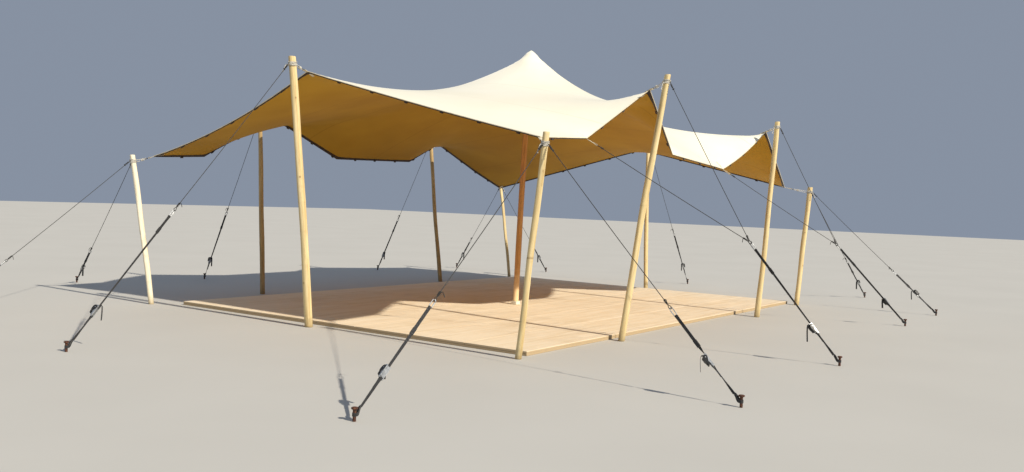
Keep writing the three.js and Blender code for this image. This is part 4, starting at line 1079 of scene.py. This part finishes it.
def ratchetParts():
    # Closed ratchet buckle: base frame, drum with webbing wound on it, toothed wheels, the lever
    # folded down over it with its grip, and the bolt that holds the short end
    drum, bolt, grip = ratchet["drum"], ratchet["bolt"], ratchet["grip"]
    a = angles(60)
    teeth = ratchet["wheelRadius"] + ratchet["toothHeight"] * ((a * ratchet["teeth"] / (2 * np.pi)) % 1)
    wheel = roundAt(a, teeth, *drum)
    onEdge = np.array([[1.0, 0, 0], [0, 0, 1.0], [0, -1.0, 0]])  # a side view's plane stood upright
    parts = [placed(platePart(outline, thickness, ratchet["bevel"], slot), (0, mirror * y, 0), onEdge)
             for mirror in (-1, 1)
             for outline, y, thickness, slot in ((ratchet["frame"], 0.0208, 0.0026, 1),
                                                 (wheel, 0.0228, 0.0022, 1),
                                                 (ratchet["lever"], 0.0247, 0.0022, 2))]
    floorPlate, leverPlate = rectangle(-0.058, 0.050, 0.0195), rectangle(-0.040, 0.026, 0.0225)
    for outline, thickness, bevel, slot, place, basis in (
            (floorPlate, 0.0022, 0.0005, 1, (0, 0, -0.0045), stillBasis),
            (ratchet["pawl"], 0.0024, ratchet["bevel"], 1, (0, 0, 0.0255), leaning(0.94, 0.34)),
            (leverPlate, 0.0020, ratchet["bevel"], 2, (-0.002, 0, 0.0385), leaning(0.992, 0.12))):
        parts.append(placed(platePart(outline, thickness, bevel, slot), place, basis))
    # Round bars across the strap with chamfered ends: the drum and the bolt, each with its nuts
    for (x, z), radius, half, sides in ((drum, 0.0085, 0.0245, 16), (drum, 0.0060, 0.0260, 6),
                                        (bolt, 0.0045, 0.0230, 16), (bolt, 0.0072, 0.0255, 6)):
        path = [(x, y, z) for y in (-half, -half + 0.001, half - 0.001, half)]
        parts.append(sweepPart(path, ringProfile(radius, sides), xAxis, [0.85, 1, 1, 0.85], slot=1))
    y = np.linspace(-0.0255, 0.0255, 13)
    rounded = np.sqrt(np.clip(1 - (np.abs(y) / 0.0275) ** 6, 0.25, 1)) * (1 + 0.06 * np.cos(y * 700))
    bar = np.stack([np.full(13, grip[0]), y, np.full(13, grip[1])], -1)
    parts.append(sweepPart(bar, ringProfile(ratchet["gripRadius"], 18, 0.62), xAxis, rounded, slot=2))
    return parts


def acrossAt(turn):
    # The webbing's width direction, turned about the strap's line: (0, cos a, sin a)
    return withZero(roundAt(turn), 0)


def stakeLoop(join, foot):
    # Loop on the stake: drop-shaped on the plan, its band upright, its height eased to the stake's
    out, around = flatDirection(join, foot), stake["radius"] + stake["loopOut"]
    reach = lengthOf((foot - join)[:2]) + around
    loop = loopPath(join, out, np.cross(worldUp, out), reach, 1.3 * np.sqrt(around * reach / 2), 48)
    share = smoothStep(lengthOf((loop - join)[:, :2]) / (reach - 0.030))
    loop[:, 2] = join[2] + (foot[2] - join[2]) * share
    return bandPart(loop, strap["bandHeight"], strap["loopThickness"], worldUp)


def looseEnd(drum, lever, basis, length):
    # The end of the webbing leaves the drum under the strap, or over the lever where the ratchet
    # hangs under the strap, and hangs straight down
    x, y, up = basis
    if up[2] > -0.1:
        points = [drum - 0.0052 * up, drum - 0.030 * x - 0.0065 * up,
                  drum - 0.050 * x - 0.014 * up - 0.010 * worldUp]
    else:
        top = lever + 0.012 * up
        points = [top, top - 0.014 * x + 0.014 * up, top - 0.012 * x + 0.030 * up]
    points += [points[2] - 0.35 * length * worldUp - 0.004 * x, points[2] - length * worldUp + 0.006 * x]
    return bandPart(curveThrough(points, 30), strap["singleWidth"], strap["tailThickness"], y)


def strapParts(guy):
    # Everything is laid out along x, flat in y, with the ratchet's lever on +z, and then placed.
    # roll turns the ratchet about the strap's line, and the webbing twists to it from hookRoll.
    start, thick, narrow = guy["hookPoint"], strap["thickness"], strap["singleWidth"]
    length, x = lengthOf(guy["end"] - start), unit(guy["end"] - start)
    level = unit(np.cross(worldUp, x))
    roll, hookTurn = np.radians(guy["roll"]), np.radians(guy["hookRoll"] - guy["roll"])
    y = level * np.cos(roll) + np.cross(x, level) * np.sin(roll)
    basis = np.stack([x, y, np.cross(x, y)])
    ratchetX, last = length - strap["ratchetToStake"], length - strap["loopReach"]
    drumX, bolt = ratchetX + ratchet["drum"][0], ratchetX + ratchet["bolt"][0]
    bar = strap["hookGap"] + strap["hookLength"] - strap["hookWire"]
    # Webbing from its sewn end back round the hook's bar, with a cuff, then down and round the drum
    sewn = min(bar + guy.get("doubled", strap["doubled"]), drumX - 0.12)
    middle = (sewn + bar) / 2
    eye, cuff, short = (np.array(strap[key]) + [place, 0] for key, place in (
        ("eye", bar), ("cuff", sewn), ("short", bolt)))
    eye = curveThrough([(sewn, 0.0036), (middle, 0.0036), *eye, (middle, 0), (sewn, 0)], 90)
    turning = [*hookParts(), bandPart(eye, strap["width"], thick, yAxis),
               bandPart(curveThrough(cuff, 30), strap["width"] + 0.004, thick, yAxis)]
    # Turned about the strap's own line: y' = y cos a - z sin a, z' = y sin a + z cos a
    c, s = np.cos(hookTurn), np.sin(hookTurn)
    flat = [placed(part, (0, 0, 0), [(1, 0, 0), (0, c, s), (0, -s, c)]) for part in turning]
    turn, radius = np.linspace(-np.pi / 2, 2.7 * np.pi, 44), np.linspace(0.0160, 0.0103, 44)
    spiral = withZero(roundAt(turn, radius, drumX, ratchet["drum"][1]), 1)
    single = np.concatenate([np.outer(np.linspace(sewn - 0.004, drumX - 0.01, 30), xAxis), spiral])
    twist = hookTurn * (1 - smoothStep((single[:, 0] - sewn) / (drumX - 0.04 - sewn)))
    # Short end: sewn round the ratchet's bolt, then turned on edge towards the stake
    onwards = np.linspace(bolt + strap["short"][-1][0], last, 26)[1:]
    path = np.concatenate([curveThrough(short, 56), np.outer(onwards, xAxis)])
    upright = (np.pi / 2 - roll + np.pi / 2) % np.pi - np.pi / 2
    turned = smoothStep((path[:, 0] - (last - strap["twist"])) / strap["twist"]) * upright
    turned[:-len(onwards)] = 0
    flat += [bandPart(single, narrow, thick, acrossAt(twist)),
             *(placed(part, (ratchetX, 0, 0)) for part in ratchetParts()),
             bandPart(path, narrow, thick, acrossAt(turned))]
    return [placed(part, start, basis) for part in flat] + [
        stakeLoop(start + last * x, guy["foot"]),
        looseEnd(start + drumX * x, start + (ratchetX - 0.050) * x, basis,
                 guy.get("tail", strap["tail"]))]


for name, guy in guys.items():
    makePiece("guy_strap_" + name, strapParts(guy), [blackWeave, zincSteel, gripPlastic],
              ["strap_" + name])
print("straps made")

# Stakes: a round bar with a head that hammering has spread, from the ground up (radius, height)

stakeProfile = np.array([
    (0.0118, 0.0), (0.0130, 0.001), (0.0130, 0.020), (0.0128, 0.055), (0.0130, 0.082), (0.0150, 0.0865),
    (0.0235, 0.0885), (0.0262, 0.0905), (0.0270, 0.0940), (0.0268, 0.0985), (0.0245, 0.1018),
    (0.0190, 0.1038), (0.0110, 0.1046), (0.0040, 0.1049),
])


def stakePart(index):
    # The profile turned about the upright axis, its radius * (1 + a few sines round the head),
    # growing with the distance from the bar
    chance, sides = np.random.default_rng(stake["seed"] + index), stake["sides"]
    a, radius = angles(sides), stakeProfile[:, :1]
    lumps = sum(size * np.sin(n * a + chance.uniform(0, 2 * np.pi))
                for n, size in ((2, 0.045), (3, 0.035), (5, 0.025), (8, 0.015)))
    spread = smoothStep((radius - 0.0135) / 0.010)
    around = radius * (1 - 0.05 * spread + 0.8 * spread * lumps)
    points = np.stack([around * np.cos(a), around * np.sin(a), stakeProfile[:, 1:] + 0 * around], -1)
    girth = np.linspace(0, 2 * np.pi * radius.max(), sides + 1)
    return gridPart(points, lengthsAlong(stakeProfile), girth, around=True, caps=True)


for index, (name, guy) in enumerate(guys.items()):
    makePiece("ground_stake_" + name, [placed(stakePart(index), (*guy["stake"], 0))], [rustySteel],
              ["stake_" + name])
print("stakes made")

# Deck: seven rows with open seams, each of six boards on a dark base

deck = {
    "length": 8.200, "width": 5.800, "height": 0.050, "rows": 7, "boardsPerRow": 6, "seam": 0.009,
    "groove": 0.0004, "butt": 0.0006, "boardThickness": 0.022, "baseGap": 0.0004, "edge": 0.0004,
    "unevenness": 0.0003, "seed": 5,
}


def boardPart(low, high, start, end, lift, tone):
    # A rounded section across the board, at four places along it; the end ones are drawn in
    top, bottom, e = deck["height"] + lift, deck["height"] - deck["boardThickness"], deck["edge"]
    across = np.array([(low, bottom), (high, bottom), (high, top - e), (high - 0.3 * e, top - 0.3 * e),
                       (high - e, top), (high - 5 * e, top), ((low + high) / 2, top + 0.0001),
                       (low + 5 * e, top), (low + e, top), (low + 0.3 * e, top - 0.3 * e),
                       (low, top - e)])
    x = np.array([start, start + e, end - e, end])
    section = across - np.array([1.0, 0, 0, 1.0])[:, None, None] * e * unit(across - across.mean(0))
    points = np.concatenate([np.broadcast_to(x[:, None, None], section.shape[:2] + (1,)), section], -1)
    part = gridPart(points, x, lengthsRound(across), around=True, caps=True)
    return {**part, "knot": np.full(len(part["points"]), tone)}


def sharedOut(low, high, count, gap):
    # Even shares of a width, with a gap between neighbours
    width = (high - low) / count
    return [(low + k * width + (gap / 2 if k else 0),
             low + (k + 1) * width - (gap / 2 if k < count - 1 else 0)) for k in range(count)]


def deckParts():
    # Boards side by side, with butt joints in turn; the base under them shows in the open seams
    chance, length, half = np.random.default_rng(deck["seed"]), deck["length"] / 2, deck["width"] / 2
    parts = []
    for row in sharedOut(-half, half, deck["rows"], deck["seam"]):
        for first, last in sharedOut(*row, deck["boardsPerRow"], deck["groove"]):
            ends = [-length, chance.uniform(-2.8, -0.9), chance.uniform(0.6, 2.9), length]
            for k in range(3):
                parts.append(boardPart(first, last, ends[k] + (deck["butt"] if k else 0),
                                       ends[k + 1] - (deck["butt"] if k < 2 else 0),
                                       -chance.uniform(0, deck["unevenness"]), chance.uniform(0, 1)))
    height = deck["height"] - deck["boardThickness"] - deck["baseGap"]
    outline = rectangle(-length, length, half) * 0.9995
    base = placed(platePart(outline, height, 0.002), (0, 0, height / 2))
    return parts + [{**base, "knot": np.zeros(len(base["points"]))}]


makePiece("deck_boards", deckParts(), [deckWood], ["timber_deck"])

footBlock = {"size": 0.100, "height": 0.050, "bottom": 0.0503, "corner": 0.008, "bevel": 0.004}


def blockPart():
    # A square with rounded corners: centre of each corner + radius * (cos a, sin a)
    half, a = footBlock["size"] / 2 - footBlock["corner"], np.linspace(0, np.pi / 2, 6)
    corners = [roundAt(a + k * np.pi / 2, footBlock["corner"], x * half, y * half)
               for k, (x, y) in enumerate(((1, 1), (-1, 1), (-1, -1), (1, -1)))]
    part = platePart(np.concatenate(corners), footBlock["height"], footBlock["bevel"])
    part["knot"] = np.full(len(part["points"]), 0.5)
    return placed(part, (*centrePole["foot"][:2], footBlock["bottom"] + footBlock["height"] / 2))


makePiece("foot_block", [blockPart()], [blockWood], ["centre_pole_foot"])
print("deck made")

# Floor, light and camera

studio = {
    "floor": ("#c2c0ba", "#c6c4be"), "sky": "#cfdef6", "skyStrength": 0.39, "sunStrength": 4.75,
    "sunAngle": 0.02, "sunFrom": (-0.16, -1.46, 1.0), "sunColour": "#fff6e6", "floorHalf": 80.0,
    "floorZ": -0.001, "look": "Standard",
}
camera = {
    "place": (-12.2439, -8.3375, 1.600), "right": (0.572736, -0.818885, 0.037425),
    "up": (0.007687, 0.051018, 0.998668), "forward": (0.819704, 0.571685, -0.035515),
    "focalPixels": 940.24, "frameWidth": 1024,
}


def floorNodes(add, look):
    # Matt paint with faint clouds
    clouds = add("TexNoise", {"Vector": add("TexCoord", out="Object"), "Scale": 0.5, "Detail": 3.0})
    return {"Base Color": add("ValToRGB", [clouds], zip((0.3, 0.7), look["tones"])), "Roughness": 0.9}


def addToScene(name, data):
    # A new object for the data, linked to the scene
    thing = bpy.data.objects.new(name, data)
    bpy.context.scene.collection.objects.link(thing)
    return thing


floorMesh = bpy.data.meshes.new("studio_floor")
corners = rectangle(-studio["floorHalf"], studio["floorHalf"], studio["floorHalf"])
floorMesh.from_pydata([(x, y, studio["floorZ"]) for x, y in corners], [], [(0, 1, 2, 3)])
floorMesh.materials.append(newMaterial("matt studio floor", floorNodes, {"tones": studio["floor"]}))
floor = addToScene("studio_floor", floorMesh)

world = bpy.data.worlds.new("studio_world")
bpy.context.scene.world = world
world.use_nodes = True
background = world.node_tree.nodes["Background"]
background.inputs["Color"].default_value = toLinear(studio["sky"])
background.inputs["Strength"].default_value = studio["skyStrength"]

sunData = bpy.data.lights.new("key_light", "SUN")
sunData.energy, sunData.angle = studio["sunStrength"], studio["sunAngle"]
sunData.color = toLinear(studio["sunColour"])[:3]
sun = addToScene("key_light", sunData)
sun.rotation_euler = Vector(studio["sunFrom"]).to_track_quat("Z", "Y").to_euler()
bpy.context.scene.view_settings.view_transform = studio["look"]

cameraData = bpy.data.cameras.new("photo_camera")
cameraData.sensor_fit, cameraData.sensor_width = "HORIZONTAL", 36.0
cameraData.lens = camera["focalPixels"] / camera["frameWidth"] * cameraData.sensor_width
cameraData.clip_end = 400.0
cameraObject = addToScene("photo_camera", cameraData)
axes = Matrix([camera["right"], camera["up"], [-v for v in camera["forward"]]]).transposed()
cameraObject.matrix_world = Matrix.Translation(camera["place"]) @ axes.to_4x4()
bpy.context.scene.camera = cameraObject
